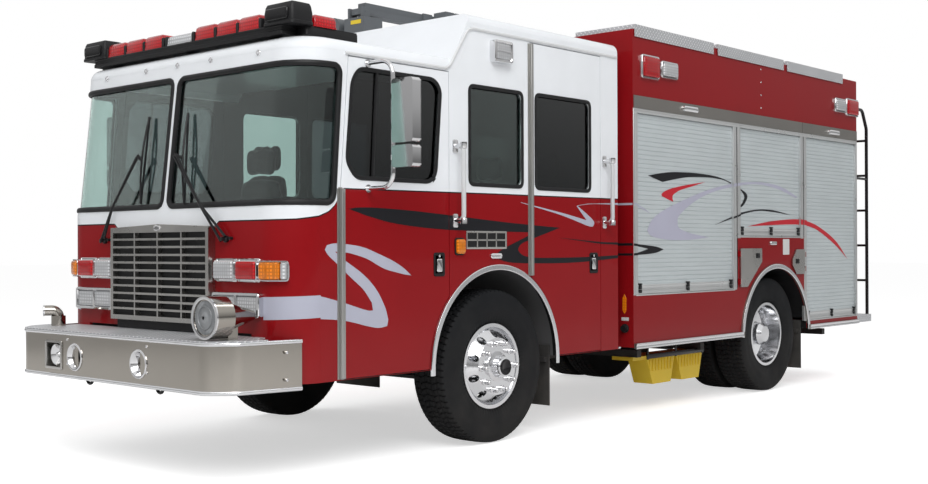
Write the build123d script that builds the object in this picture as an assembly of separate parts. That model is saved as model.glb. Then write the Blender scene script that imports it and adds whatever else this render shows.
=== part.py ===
"""Custom-cab fire engine: crew cab, compartment body, dual rear wheels, folding light tower.

Millimetres, +Z up from the ground. The engine faces -Y, and +X is its left side.
The origin is on the ground, midway between the bumper face and the tailboard edge.
"""
import os
from math import cos, radians, sin, sqrt, tan

from build123d import *

os.makedirs("parts", exist_ok=True)

# ---- driving dimensions ---------------------------------------------------------------
front_overhang = 2330        # front axle to bumper face
wheelbase = 4027
rear_overhang = 2218         # rear axle to tailboard edge
cab_width = 2480
body_width = 2540
cab_nose = 1890              # front axle to the flat cab front
cab_rear = 1478              # front axle to the cab's back wall
body_gap = 172               # cab back wall to body front
body_behind_axle = 1860      # rear axle to the body's back wall
wall = 50                    # cab walls and doors
shut_gap = 6                 # round doors and panels
clear = 0.3                  # between pieces that only rest near each other
fit = 0.05                   # radial running clearance of pins and spindles

tyre_radius = 537.5
tyre_width = 300
rim_radius = 285.7
flange_radius = 298.5
track = 2130                 # front wheels, and outer rear wheels
dual_spacing = 340
kingpin_x = 880
spindle_radius = 45

rail_outer = 432             # half the outside width of the frame rails
rail_depth = 250
rail_flange = 80
rail_plate = 10
rail_bottom = 620
nose_rail_top = 780
nose_rail_bottom = 560

skirt_z = 563                # bottom of the cab and body skirts
front_panel_z = 855          # bottom edge of the cab front
floor_rise = 70              # cab floor above the frame rails
floor_plate = 40
body_rise = 140              # body underside above the frame rails
belt_z = 1600                # foot of the windshield
eave_z = 2560
low_roof_z = 2650
high_roof_z = 2975
rake = 6.5                   # windshield lean, degrees
cab_corner = 250
arch_radius = 690            # cab wheel arch
arch_z = 559

bumper_bottom = 530
bumper_top = 833
bumper_plate = 28
body_top = 3118
body_wall = 35
shutter_head = 2450
panel_foot = 2587            # painted upper panel starts here
body_arch_radius = 640
lid_rise = 38                # lid thickness above the body top
side_depth = 640             # depth of the side compartments

# ---- places worked out from them --------------------------------------------------------
length = front_overhang + wheelbase + rear_overhang
front_axle = front_overhang - length / 2
rear_axle = front_axle + wheelbase
bumper_face = -length / 2
tail_edge = length / 2
cab_half = cab_width / 2
body_half = body_width / 2
nose_y = front_axle - cab_nose
cab_back = front_axle + cab_rear
body_front = cab_back + body_gap
body_back = rear_axle + body_behind_axle
body_inner = body_half - side_depth
axle_z = tyre_radius
rail_top = rail_bottom + rail_depth
rail_inner = rail_outer - rail_flange
floor_z = rail_top + floor_rise
body_floor = rail_top + body_rise
wheel_x = track / 2
inner_wheel_x = wheel_x - dual_spacing
pin_y = nose_y + 75          # front mounting pins of the cab
pin_z = rail_top + 3


# ---- helpers ------------------------------------------------------------------------------
def block(x0, x1, y0, y1, z0, z1):
    """Box between two corners."""
    centre = ((x0 + x1) / 2, (y0 + y1) / 2, (z0 + z1) / 2)
    return Pos(*centre) * Box(abs(x1 - x0), abs(y1 - y0), abs(z1 - z0))


def rod(axis, centre, radius, span, tip_radius=None):
    """Cylinder, or cone when tip_radius is given, about an axis through its centre."""
    turn = {"x": Rot(0, 90, 0), "y": Rot(-90, 0, 0), "z": Rot(0, 0, 0)}[axis]
    solid = Cylinder(radius, span) if tip_radius is None else Cone(radius, tip_radius, span)
    return Pos(*centre) * turn * solid


def side_prism(points, x0, x1):
    """Outline of (y, z) points carried along X."""
    face = make_face(Polyline([(x0, y, z) for y, z in points], close=True))
    return extrude(face, amount=x1 - x0, dir=(1, 0, 0))


def plan_prism(points, z0, z1):
    """Outline of (x, y) points carried up Z."""
    face = make_face(Polyline([(x, y, z0) for x, y in points], close=True))
    return extrude(face, amount=z1 - z0, dir=(0, 0, 1))


def spun(points, x, y, z, side=1):
    """Ring or disc about an axis along X, from (radius, offset) points."""
    profile = make_face(Polyline([(x + side * offset, y, z + r) for r, offset in points], close=True))
    return revolve(profile, axis=Axis((x, y, z), (1, 0, 0)))


def pipe(points, radius, bend):
    """Round bar along straight runs with tangent bends."""
    path = FilletPolyline(*points, radius=bend)
    section = Plane(origin=path @ 0, z_dir=path % 0) * Circle(radius)
    return sweep(section, path=path)


def rounded(solid, axis, radius):
    """The same solid with every edge along one axis rounded."""
    return fillet(solid.edges().filter_by(axis), radius)


def mirrored(shape):
    """The same piece on the other side of the engine."""
    return mirror(shape, about=Plane.YZ)


def both(shape):
    """A piece and its mirror image."""
    return [shape, mirrored(shape)]


def fused(*shapes):
    """One solid from touching pieces."""
    return Part() + list(shapes)


def save(node, *shapes):
    """Writes one node, of one solid or of several separate ones."""
    solids = [s for shape in shapes for s in shape.solids()]
    export_step(Compound(children=solids) if len(solids) > 1 else solids[0], f"parts/{node}.step")


def save_pair(name, shape):
    """Writes a left piece and its mirror image as two nodes."""
    save(name + "_left", shape)
    save(name + "_right", mirrored(shape))


# ---- wheels and tyres ---------------------------------------------------------------------
bead = 111                   # half the width between rim flanges
rim_plate = 12
disc_plate = 22
disc_offset = dual_spacing / 2 - disc_plate   # rim centre to the inner side of the disc pad
hub_radius = 105
hub_cap_reach = 62           # front hub beyond its disc
rear_cap_reach = 280         # rear hub beyond its discs
bolt_circle = 167.5
hole_circle = 228
hole_radius = 27
wheel_bolts = 10


def tyre(x, y):
    """Tubeless tyre as a closed ring."""
    half = tyre_width / 2
    profile = [(rim_radius + clear, -bead), (flange_radius + 3, -bead), (flange_radius + 40, -half + 8),
               (flange_radius + 120, -half), (tyre_radius - 35, -half + 6), (tyre_radius, -half + 24),
               (tyre_radius, half - 24), (tyre_radius - 35, half - 6), (flange_radius + 120, half),
               (flange_radius + 40, half - 8), (flange_radius + 3, bead), (rim_radius + clear, bead)]
    return spun(profile, x, y, axle_z)


def rim(x, y, disc_side):
    """Rim barrel with flanges, and a dished disc towards one side."""
    lip = bead + rim_plate
    barrel = [(rim_radius - rim_plate, -lip), (flange_radius, -lip), (flange_radius, -bead - clear),
              (rim_radius, -bead - clear), (rim_radius, bead + clear), (flange_radius, bead + clear),
              (flange_radius, lip), (rim_radius - rim_plate, lip)]
    pad = disc_offset + disc_plate
    disc = [(hub_radius - 2, disc_offset), (hub_radius - 2, pad), (200, pad),
            (rim_radius - rim_plate + 2, 96), (rim_radius - rim_plate + 2, 66), (200, disc_offset)]
    return fused(spun(barrel, x, y, axle_z), spun(disc, x, y, axle_z, disc_side))


def drilled(solid, x, y, stud_span, hole_span):
    """Wheel studs on the bolt circle, hand holes between them."""
    for k in range(wheel_bolts):
        stud = radians(360 * k / wheel_bolts)
        hole = radians(360 * (k + 0.5) / wheel_bolts)
        solid += rod("x", (x, y + bolt_circle * cos(stud), axle_z + bolt_circle * sin(stud)), 17, stud_span)
        solid -= rod("x", (x, y + hole_circle * cos(hole), axle_z + hole_circle * sin(hole)),
                     hole_radius, hole_span)
    return solid


def front_wheel():
    """Steered wheel with its hub and brake drum, bored for the spindle."""
    pad = disc_offset + disc_plate
    hub = [(spindle_radius + fit, -20), (hub_radius + 20, -20), (hub_radius + 20, disc_offset),
           (hub_radius, disc_offset), (hub_radius, pad + 6), (78, pad + 12), (72, pad + hub_cap_reach),
           (spindle_radius + fit, pad + hub_cap_reach)]
    cap = [(0, pad + 30), (60, pad + 30), (60, pad + hub_cap_reach + 4), (48, pad + hub_cap_reach + 14),
           (0, pad + hub_cap_reach + 14)]
    drum = [(hub_radius + 10, 20), (205, 20), (205, -110), (190, -110), (190, 8), (hub_radius + 10, 8)]
    solid = fused(rim(wheel_x, front_axle, 1), *[spun(p, wheel_x, front_axle, axle_z) for p in (hub,
                                                                                                cap, drum)])
    return drilled(solid, wheel_x + pad, front_axle, 64, 220)


def rear_wheels():
    """Two dished wheels, pad to pad, on the hub of the drive axle."""
    mid = (wheel_x + inner_wheel_x) / 2
    hub = [(spindle_radius + fit, -150), (hub_radius + 20, -150), (hub_radius + 20, -disc_plate),
           (hub_radius, -disc_plate), (hub_radius, rear_cap_reach - 40), (74, rear_cap_reach),
           (0, rear_cap_reach), (0, rear_cap_reach - 14), (spindle_radius + fit, rear_cap_reach - 14)]
    drum = [(hub_radius + 10, -34), (205, -34), (205, -190), (190, -190), (190, -46),
            (hub_radius + 10, -46)]
    solid = fused(rim(wheel_x, rear_axle, -1), rim(inner_wheel_x, rear_axle, 1),
                  *[spun(p, mid, rear_axle, axle_z) for p in (hub, drum)])
    return drilled(solid, mid + 16, rear_axle, 90, 320)


save_pair("front_wheel", front_wheel())
save_pair("front_tyre", tyre(wheel_x, front_axle))
save_pair("rear_wheels", rear_wheels())
save_pair("rear_tyres", Compound(children=[tyre(wheel_x, rear_axle), tyre(inner_wheel_x, rear_axle)]))

# ---- steering knuckles ----------------------------------------------------------------------
boss_radius = 46
boss_half = 55               # half the height of the axle's end boss
kingpin_radius = 22
spindle_tip = wheel_x + disc_offset + disc_plate + 28
mid_knuckle = axle_z + 25
knuckle = fused(
    rod("z", (kingpin_x, front_axle, mid_knuckle), kingpin_radius, 2 * boss_half + 90),
    block(kingpin_x - 42, kingpin_x + 42, front_axle - 42, front_axle + 42,
          mid_knuckle + boss_half + 1, mid_knuckle + boss_half + 45),
    block(kingpin_x - 42, kingpin_x + 42, front_axle - 42, front_axle + 42,
          mid_knuckle - boss_half - 45, mid_knuckle - boss_half - 1),
    block(kingpin_x + boss_radius + 4, kingpin_x + boss_radius + 24, front_axle - 60, front_axle + 60,
          mid_knuckle - boss_half - 45, mid_knuckle + boss_half + 45),
    block(kingpin_x + 30, kingpin_x + boss_radius + 10, front_axle - 42, front_axle + 42,
          mid_knuckle + boss_half + 1, mid_knuckle + boss_half + 45),
    block(kingpin_x + 30, kingpin_x + boss_radius + 10, front_axle - 42, front_axle + 42,
          mid_knuckle - boss_half - 45, mid_knuckle - boss_half - 1),
    rod("x", ((kingpin_x + boss_radius + 20 + spindle_tip) / 2, front_axle, axle_z), spindle_radius,
        spindle_tip - kingpin_x - boss_radius - 20),
    block(kingpin_x - 24, kingpin_x + 24, front_axle + 30, front_axle + 210,
          mid_knuckle - boss_half - 40, mid_knuckle - boss_half - 12))
save_pair("steering_knuckle", knuckle)

# ---- axles and springs ----------------------------------------------------------------------
spring_x = (rail_outer + rail_inner) / 2
spring_half = 700
spring_width = 80


def leaf_spring(y, seat_z, half):
    """Leaf pack with its hangers under the rail; the stack is thickest at the axle."""
    top = rail_bottom - 18
    eye = rail_bottom - 30
    pack = [(y - half, eye - 10), (y - half * 0.6, seat_z + 14), (y - 90, seat_z), (y + 90, seat_z),
            (y + half * 0.6, seat_z + 14), (y + half, eye - 10), (y + half, eye + 6),
            (y + half * 0.6, top - 8),
            (y - half * 0.6, top - 8), (y - half, eye + 6)]
    pieces = [side_prism(pack, spring_x - spring_width / 2, spring_x + spring_width / 2)]
    for end in (-1, 1):
        spot = y + end * half
        pieces.append(block(spring_x - 34, spring_x + 34, spot - 45, spot + 45, eye - 30, rail_bottom))
    return pieces


front_seat = axle_z + 5
front_beam = [block(-kingpin_x, kingpin_x, front_axle - 55, front_axle + 55, front_seat - 30, front_seat),
              block(-kingpin_x + 70, kingpin_x - 70, front_axle - 12, front_axle + 12,
                    front_seat - 120, front_seat - 30),
              block(-kingpin_x + 90, kingpin_x - 90, front_axle - 55, front_axle + 55,
                    front_seat - 140, front_seat - 115)]
front_springs = [p for spring in leaf_spring(front_axle, front_seat - 5, spring_half) for p in both(spring)]
bosses = [p for p in both(rod("z", (kingpin_x, front_axle, mid_knuckle), boss_radius, 2 * boss_half))]
front_suspension = fused(*front_beam, *front_springs, *bosses)
for side in (-1, 1):
    front_suspension -= rod("z", (side * kingpin_x, front_axle, mid_knuckle), kingpin_radius + fit, 300)
save("front_suspension", front_suspension)

tube_radius = 72
spindle_start = inner_wheel_x - tyre_width / 2 - 20
rear_spindle_tip = (wheel_x + inner_wheel_x) / 2 + rear_cap_reach - 30
rear_seat = axle_z + tube_radius - 12
pinion_nose = rear_axle - 320
rear_axle_beam = [rod("x", (0, rear_axle, axle_z), tube_radius, 2 * spindle_start),
                  rod("x", (0, rear_axle, axle_z), spindle_radius, 2 * rear_spindle_tip),
                  rod("x", (0, rear_axle, axle_z), 205, 250),
                  rod("y", (0, (pinion_nose + rear_axle - 60) / 2, axle_z), 90,
                      rear_axle - 60 - pinion_nose)]
rear_springs = [p for spring in leaf_spring(rear_axle, rear_seat - 30, spring_half) for p in both(spring)]
save("rear_suspension", fused(*rear_axle_beam, *rear_springs))

# ---- chassis frame --------------------------------------------------------------------------
nose_end = bumper_face + bumper_plate + 12
rail_front = nose_y + 150
rail_back = body_back - 60
cab_pin = 14


def channel(x_outer, y0, y1, z0, z1):
    """C-section rail, open towards the middle."""
    solid = block(x_outer - rail_flange, x_outer, y0, y1, z0, z1)
    return solid - block(x_outer - rail_flange - 1, x_outer - rail_plate, y0 - 1, y1 + 1,
                         z0 + rail_plate, z1 - rail_plate)


frame = [p for p in both(channel(rail_outer, rail_front, rail_back, rail_bottom, rail_top))]
frame += both(channel(rail_outer, nose_end, rail_front + 320, nose_rail_bottom, nose_rail_top))
cross_members = [(nose_end + 60, nose_rail_bottom + 20), (rail_front + 120, rail_bottom + 20),
                 (front_axle + 900, rail_bottom + 4), (cab_back + 60, rail_top - 85),
                 (rear_axle - 900, rail_top - 85), (rear_axle + 900, rail_top - 85),
                 (rail_back - 60, rail_bottom + 20)]
for y, z in cross_members:
    frame.append(block(-rail_outer + 5, rail_outer - 5, y - 40, y + 40, z, z + 80))
pin_bracket = [(pin_y - 17, pin_z + 14), (pin_y - 17, pin_z - 17), (pin_y + 10, nose_rail_top - 60),
               (pin_y + 130, nose_rail_top - 60), (pin_y + 60, pin_z - 10), (pin_y + 17, pin_z + 14)]
frame += both(side_prism(pin_bracket, rail_outer - 2, rail_outer + 36))
frame += both(rod("x", (rail_outer + 50, pin_y, pin_z), cab_pin, 100))
frame += both(block(rail_inner, rail_outer, cab_back - 170, cab_back - 90, rail_top - 5,
                    floor_z - floor_plate - clear))
outrigger_z = skirt_z - 103
for y in (body_front + 260, body_front + 1260, rear_axle + 1300):
    frame += both(block(rail_outer - 5, body_half - 120, y - 30, y + 30, outrigger_z, outrigger_z + 60))
    frame += both(block(rail_outer - 5, rail_outer + 12, y - 60, y + 60, outrigger_z, rail_bottom + 190))
save("chassis_frame", fused(*frame))

# ---- engine, gearbox, shaft and tanks --------------------------------------------------------
radiator = block(-345, 345, nose_y + 195, nose_y + 275, 790, 1395)
fan = rod("y", (0, nose_y + 330, 1130), 260, 60)
gearbox_z = 830
gearbox_back = front_axle + 140
engine_front = nose_y + 400
mount_reach = rail_outer - rail_plate - clear
engine = fused(block(-200, 200, engine_front, front_axle - 320, 745, 1180),
               block(-130, 130, engine_front + 60, front_axle - 380, 1180, 1320),
               block(-300, -200, engine_front + 200, front_axle - 560, 860, 1240),
               rod("y", (0, nose_y + 380, 1130), 60, 60), fan,
               block(-345, -330, nose_y + 270, engine_front + 30, 760, 800),
               block(-345, 345, nose_y + 270, engine_front + 30, 720, 760), radiator,
               rod("y", (0, gearbox_back - 250, gearbox_z), 180, 500, 130),
               *both(block(200, mount_reach, engine_front + 300, engine_front + 380, 720, 770)))
flange_plate = 32
shaft_start = Vector(0, gearbox_back + clear + flange_plate / 2, gearbox_z)
shaft_end = Vector(0, pinion_nose - clear - flange_plate / 2, axle_z)
shaft_plane = Plane(origin=(shaft_start + shaft_end) / 2, z_dir=shaft_end - shaft_start)
shaft = fused(shaft_plane * Cylinder(48, (shaft_end - shaft_start).length),
              *[rod("y", tuple(end), 66, flange_plate) for end in (shaft_start, shaft_end)])
tank_back = cab_back - 120
tank = rounded(block(rail_outer + clear, 760, front_axle + 880, tank_back, 470, 850), Axis.Y, 60)
air_tank = rod("y", (-600, (front_axle + 880 + tank_back) / 2, 640), 120, tank_back - front_axle - 880)
strap = block(-rail_outer - 60, -rail_outer - clear, front_axle + 960, front_axle + 1000, 600, 680)
save("powertrain", engine, shaft, tank, fused(air_tank, strap))

# ---- front bumper, deck and what stands on it ----------------------------------------------
wing_end = front_axle - 1780
bumper_corner = 130
bumper_half = cab_half
flat_half = cab_half - 230   # straight front face
horn_x = 362
horn_z = 672
horn_radius = 80
speaker = (-724, -516, 580, 770)


def bumper_outline(inset):
    """Plan of the bumper: a straight face, swept corners and wings beside the cab nose."""
    points = [(flat_half - inset * 0.4, bumper_face + inset),
              (bumper_half - 80 - inset, bumper_face + 140 + inset * 0.4),
              (bumper_half - inset, wing_end)]
    return points + [(-x, y) for x, y in reversed(points)]


def bumper_prism(inset, z0, z1):
    """Solid between two levels inside the bumper's plan, with its corners rounded."""
    solid = plan_prism(bumper_outline(inset), z0, z1)
    corners = solid.edges().filter_by(Axis.Z).sort_by(Axis.Y)[:4]
    return fillet(corners, bumper_corner)


bumper = bumper_prism(0, bumper_bottom, bumper_top)
hollow = bumper_prism(bumper_plate, bumper_bottom - 1, bumper_top + 1)
bumper -= hollow
for x in (-horn_x, horn_x):
    bumper -= rod("y", (x, bumper_face, horn_z), horn_radius, 3 * bumper_plate)
bumper -= block(speaker[0], speaker[1], bumper_face - 1, bumper_face + bumper_plate + 1, speaker[2],
                speaker[3])
for side in (-1, 1):
    bumper += block(side * rail_inner, side * (rail_outer + 30), bumper_face + bumper_plate - 1, nose_end,
                    nose_rail_bottom + 10, nose_rail_top - 10)
save("front_bumper", bumper)

deck_back = nose_y - 110
deck_plate = 6
deck = bumper_prism(4, bumper_top, bumper_top + deck_plate)
deck &= block(-bumper_half, bumper_half, bumper_face, deck_back, bumper_top, bumper_top + deck_plate)
for side in (-1, 1):
    deck += block(side * (rail_inner + 10), side * (rail_outer - 10), nose_end + 20, deck_back - 30,
                  nose_rail_top, bumper_top)
save("bumper_deck", deck)

deck_top = bumper_top + deck_plate
siren_x = cab_half - 252
siren_z = 972
siren_face = front_axle - 2290
siren_radius = 125
siren_tail = front_axle - 1955
siren = fused(rod("y", (siren_x, siren_face + 60, siren_z), siren_radius, 120),
              rod("y", (siren_x, (siren_face + 120 + siren_tail) / 2, siren_z), 95,
                  siren_tail - siren_face - 118, 30),
              block(siren_x - 50, siren_x + 40, siren_face + 130, siren_face + 200, deck_top, siren_z))
elbow_spot = (254 - cab_half, front_axle - 2080)
elbow = fused(rod("z", (*elbow_spot, deck_top + 34), 48, 68),
              pipe([(*elbow_spot, deck_top + 40), (*elbow_spot, deck_top + 105),
                    (elbow_spot[0] - 45, elbow_spot[1] - 85, deck_top + 105)], 36, 45))
save("bumper_fittings", siren, elbow)

# ---- compartment body -------------------------------------------------------------------------
trough_half = 560
hatch_floor = 2660
arch_y = rear_axle + 40
arch_front = arch_y - body_arch_radius
arch_back = arch_y + body_arch_radius
post = 49
bay_posts = [arch_front - 104, rear_axle + 615]     # middle of the posts between the bays
bays = [(body_front + post, bay_posts[0] - post, 985), (bay_posts[0] + post, bay_posts[1] - post, 1462),
        (bay_posts[1] + post, body_back - post + 30, 641)]
hatch_gap = 76
hatch_run = (body_back - 300 - body_front) / 3
hatches = [(body_front + 18 + k * hatch_run, body_front + 18 + (k + 1) * hatch_run
            - hatch_gap) for k in range(3)]
hatch_in = body_inner + 60
hatch_out = body_half - 40
rear_bay = (480, body_floor + 60, 2060)      # half width, foot and head of the rear compartment
lid_hinge_x = body_inner + 50
lid_low = body_top + 3
lid_hinge_z = lid_low + 12
lid_pin = 9
lid_knuckle = 90
lid_hinges = [y for y0, y1 in hatches for y in (y0 + 150, y1 - 150)]
bottle_plate = 14
bottle_x = body_half + 3
bottle_pin = 6
bottle_knuckle = 50
bottle_hinge_x = bottle_x + bottle_plate
# (hinge y, way to the fixed bracket, knuckle heights)
bottle_hinges = [(arch_front - 62, -1, (1052, 1302)), (arch_back - 70, 1, (1150, 1290))]


def wheel_well(radius, y, z, x_low, x_high):
    """Round-topped space over a wheel, open below."""
    return fused(rod("x", ((x_low + x_high) / 2, y, z), radius, x_high - x_low),
                 block(x_low, x_high, y - radius, y + radius, z - 700, z))


body_side = block(body_inner, body_half, body_front, body_back, skirt_z, body_top)
body_side -= block(body_inner - 1, trough_half + 90, body_front - 1, body_back + 1, skirt_z - 1, body_floor)
for y0, y1, z0 in bays:
    body_side -= block(body_inner + body_wall, body_half + 1, y0, y1, z0, shutter_head)
for y0, y1 in hatches:
    body_side -= block(hatch_in, hatch_out, y0 + 30, y1 - 30, hatch_floor, body_top + 1)
well_inner = body_inner - 10
body_side -= wheel_well(body_arch_radius, arch_y, 520, well_inner, body_half + 1)
for y in lid_hinges:
    body_side += block(lid_hinge_x - lid_pin, lid_hinge_x + 4, y - lid_knuckle / 2, y + lid_knuckle / 2,
                       body_top - 1, lid_hinge_z - lid_pin - clear)
for y, way, heights in bottle_hinges:
    near, far = y + way * (bottle_pin + clear), y + way * (bottle_pin + clear + 14)
    for z in heights:
        body_side += block(body_half - 1, bottle_hinge_x + 2, *sorted((near, far)),
                           z - bottle_knuckle / 2, z + bottle_knuckle / 2)
save_pair("body", body_side)

core = block(-body_inner + clear, body_inner - clear, body_front, body_back, body_floor, body_top - 60)
core -= block(-trough_half, trough_half, body_front + 200, body_back - body_wall, 2150, body_top)
core -= block(-trough_half, trough_half, body_back - 2 * body_wall, body_back + 1, 2500, body_top)
core -= block(-trough_half + 60, trough_half - 60, body_front + 120, body_back - 720, body_floor + 40, 2090)
core -= block(-rear_bay[0], rear_bay[0], body_back - 560, body_back + 1, rear_bay[1], rear_bay[2])
for side in (-1, 1):
    core -= wheel_well(body_arch_radius, arch_y, 520,
                       *sorted((side * (inner_wheel_x - tyre_width / 2 - 30), side * body_inner)))
    core += block(side * rail_inner, side * rail_outer, body_front + 100, body_back - 90, rail_top,
                  body_floor + 1)
save("hose_bed", core)

# ---- roll-up shutters ---------------------------------------------------------------------------
shutter_depth = 22
shutter_inset = 12
slat = 42


def shutter(y0, y1, z0):
    """Curtain of slats between its side channels, with a bottom bar."""
    x1 = body_half - shutter_inset
    top = shutter_head - clear
    curtain = block(x1 - shutter_depth, x1 - 5, y0 + clear, y1 - clear, z0 + clear, top)
    bar = block(x1 - 8, x1 + 8, y0 + 22, y1 - 22, z0 + 6, z0 + 78)
    side_rails = [block(x1 - 6, x1 + 6, y, y + 18, z0 + clear, top) for y in (y0 + clear, y1 - clear - 18)]
    return fused(curtain, bar, *side_rails)


rear_half = rear_bay[0] - clear
rear_shutter = fused(block(-rear_half, rear_half, body_back - 26, body_back - 10, rear_bay[1] + clear,
                           rear_bay[2] - clear),
                     block(-440, 440, body_back - 12, body_back + 6, rear_bay[1] + 8, rear_bay[1] + 80))
save("shutters", *[p for bay in bays for p in both(shutter(*bay))], rear_shutter)

# ---- rub rails, bands and arch rings --------------------------------------------------------------
band_low = shutter_head + 36
band = block(body_half + clear, body_half + 8, body_front + 8, body_back - 8, band_low, panel_foot)
rub = block(body_half + clear, body_half + 24, body_front + 8, arch_front - 8, skirt_z - 12, skirt_z + 33)
rub_back = block(body_half + clear, body_half + 24, arch_back + 8, body_back - 8, skirt_z - 12,
                 skirt_z + 33)
ring = wheel_well(body_arch_radius + 44, arch_y, 520, body_half + clear, body_half + 16)
ring -= wheel_well(body_arch_radius, arch_y, 520, body_half - 5, body_half + 20)
ring &= block(body_half, body_half + 20, arch_y - 800, arch_y + 800, skirt_z + 45, 1400)
save("body_trim", *both(band), *both(rub), *both(rub_back), *both(ring))

# ---- mud flaps and wheel chocks ---------------------------------------------------------------------
flap_places = [(front_axle + 672, 640, 1170, 190, 640), (arch_back - 30, 590, 1215, 165, 640)]
flaps = []
for y, x0, x1, z0, z1 in flap_places:
    flap = fused(block(x0, x1, y, y + 12, z0, z1),
                 block(rail_outer + 10, x1 - 20, y - 22, y, 515, 552),
                 block(rail_outer + 10, rail_outer + 28, y - 22, y, 515, rail_bottom + 70),
                 block(rail_outer + clear, rail_outer + 12, y - 22, y, rail_bottom + 20, rail_bottom + 70))
    flaps += both(flap)
save("mud_flaps", *flaps)

chock_length = 430
chock_height = 215
chock_width = 190
chock_x = body_half - 260
rack_z = outrigger_z


def chock(y):
    """Folded wheel chock in its rack, ramp side down the road."""
    z0 = rack_z - 30
    outline = [(y, z0), (y + chock_length, z0), (y + chock_length - 60, z0 - chock_height),
               (y + 90, z0 - chock_height)]
    return side_prism(outline, chock_x - chock_width / 2, chock_x + chock_width / 2)


chock_start = body_front + 440
rack = block(chock_x - chock_width / 2 - 8, chock_x + chock_width / 2 + 8, body_front + 220,
             body_front + 1310, rack_z - 30, rack_z)
chocks = [fused(rack, chock(chock_start), chock(chock_start + chock_length + 30))]
save("wheel_chocks", *[p for c in chocks for p in both(c)])

# ---- tailboard, ladder and lamps -------------------------------------------------------------------
tail_low = skirt_z - 5
tailboard = block(-body_half, body_half, body_back + clear, tail_edge, tail_low, tail_low + 78)
tailboard -= block(-body_half + 30, body_half - 30, body_back + 30, tail_edge - 30, tail_low - 1,
                   tail_low + 60)
tailboard += block(-rail_outer, rail_outer, rail_back + clear, body_back + 40, tail_low + 5, tail_low + 60)
for side in (-1, 1):
    tailboard += block(side * rail_inner, side * rail_outer, rail_back + clear, rail_back + 30,
                       tail_low + 5, rail_top - 40)
save("tailboard", tailboard)

ladder_out = body_half - 32
ladder_in = ladder_out - 430
ladder_y = tail_edge - 34
rail_bar = 17
tail_top = tail_low + 78
stiles = [pipe([(x, body_back + clear, 2835), (x, ladder_y - 110, 2835), (x, ladder_y, 2640),
                (x, ladder_y, tail_top + clear)],
               rail_bar, 70) for x in (ladder_in, ladder_out)]
rungs = [rod("x", ((ladder_in + ladder_out) / 2, ladder_y, z), 13,
             ladder_out - ladder_in) for z in range(1000, 2700, 378)]
stays = [rod("y", (x, (body_back + ladder_y) / 2, 2095), 13, ladder_y - body_back - 2 * clear)
         for x in (ladder_in, ladder_out)]
grab = pipe([(-ladder_out, body_back + clear, 2400), (-ladder_out, ladder_y, 2400),
             (-ladder_out, ladder_y, tail_top + clear)],
            rail_bar, 70)
save("rear_ladder", fused(*stiles, *rungs, *stays), grab)

lamp_rows = [(body_front + 361, -261, 2733, 2929), (body_front + 396, 251, 2763, 2907),
             (body_back - 557, 254, 2752, 2900), (body_back - 293, 262, 2735, 2918),
             (body_front + 734, 228, 2514, 2564), (body_back - 719, 259, 2508, 2557)]
lamps = []
for y, run, z0, z1 in lamp_rows:
    proud = 46 if z0 > panel_foot else 30
    seat = body_half + clear if z0 > panel_foot else body_half + 8 + clear
    lamps += both(block(seat, seat + proud, min(y, y + run), max(y, y + run), z0, z1))
tail_lamps = [(620, 880, 1100 + 130 * k, 1210 + 130 * k) for k in range(3)]
for x0, x1, z0, z1 in tail_lamps:
    lamps += both(block(x0, x1, body_back + clear, body_back + 45, z0, z1))
lamps += both(block(900, 1150, body_back + clear, body_back + 50, 2640, 2800))
save("body_lamps", *lamps)

# ---- roof hatch lids ------------------------------------------------------------------------------
lid_out = body_half + 12
flange_foot = 3058


def lid(y0, y1):
    """Tread-plate lid with a turned-down outer flange and hinge knuckles inboard."""
    plate = block(lid_hinge_x + 14, lid_out, y0, y1, lid_low, body_top + lid_rise)
    flange = block(lid_out - 5, lid_out, y0, y1, flange_foot, body_top + lid_rise)
    spots = [y for y in lid_hinges if y0 < y < y1]
    knuckles = [rod("y", (lid_hinge_x, y, lid_hinge_z), lid_pin, lid_knuckle) for y in spots]
    leaves = [block(lid_hinge_x, lid_hinge_x + 16, y - lid_knuckle / 2, y + lid_knuckle / 2,
                    lid_hinge_z - 4, lid_hinge_z + 4) for y in spots]
    return fused(plate, flange, *knuckles, *leaves)


for k, (y0, y1) in enumerate(hatches):
    save_pair(f"roof_lid_{k + 1}", lid(y0, y1))

# ---- bottle doors beside the rear wheels -------------------------------------------------------------
bottle_front_outline = [(arch_front - 62, 1352), (arch_front + 335, 1352), (arch_front + 335, 1228),
                        (arch_front + 60, 1002), (arch_front - 62, 1002)]
bottle_back_outline = [(arch_back - 330, 1245), (arch_back - 245, 1340), (arch_back - 70, 1340),
                       (arch_back - 70, 1100), (arch_back - 245, 1100), (arch_back - 330, 1190)]


for name, outline, (y, _, heights) in (("front", bottle_front_outline, bottle_hinges[0]),
                                       ("rear", bottle_back_outline, bottle_hinges[1])):
    plate = side_prism(outline, bottle_x, bottle_x + bottle_plate)
    knuckles = [rod("z", (bottle_hinge_x, y, z), bottle_pin, bottle_knuckle) for z in heights]
    save_pair("bottle_door_" + name, fused(plate, *knuckles))

# ---- cab shell ------------------------------------------------------------------------------------------
roof_step = front_axle - 498         # foot of the ramp to the raised roof
ramp_run = 225
edge_round = 75
hinge_front = front_axle - 1473
front_door_back = front_axle - 501
crew_hinge = front_axle + 377
crew_door_back = front_axle + 1240
lean = tan(radians(rake))


def nose_outline(inset, shift, z, corner):
    """Cab plan at one level: square at the back, round corners at the nose."""
    half = cab_half - inset
    face = make_face(Polyline([(-half, nose_y + inset + shift, z), (half, nose_y + inset + shift, z),
                               (half, cab_back - inset, z), (-half, cab_back - inset, z)], close=True))
    return fillet(face.vertices().sort_by(Axis.Y)[:2], corner)


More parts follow.
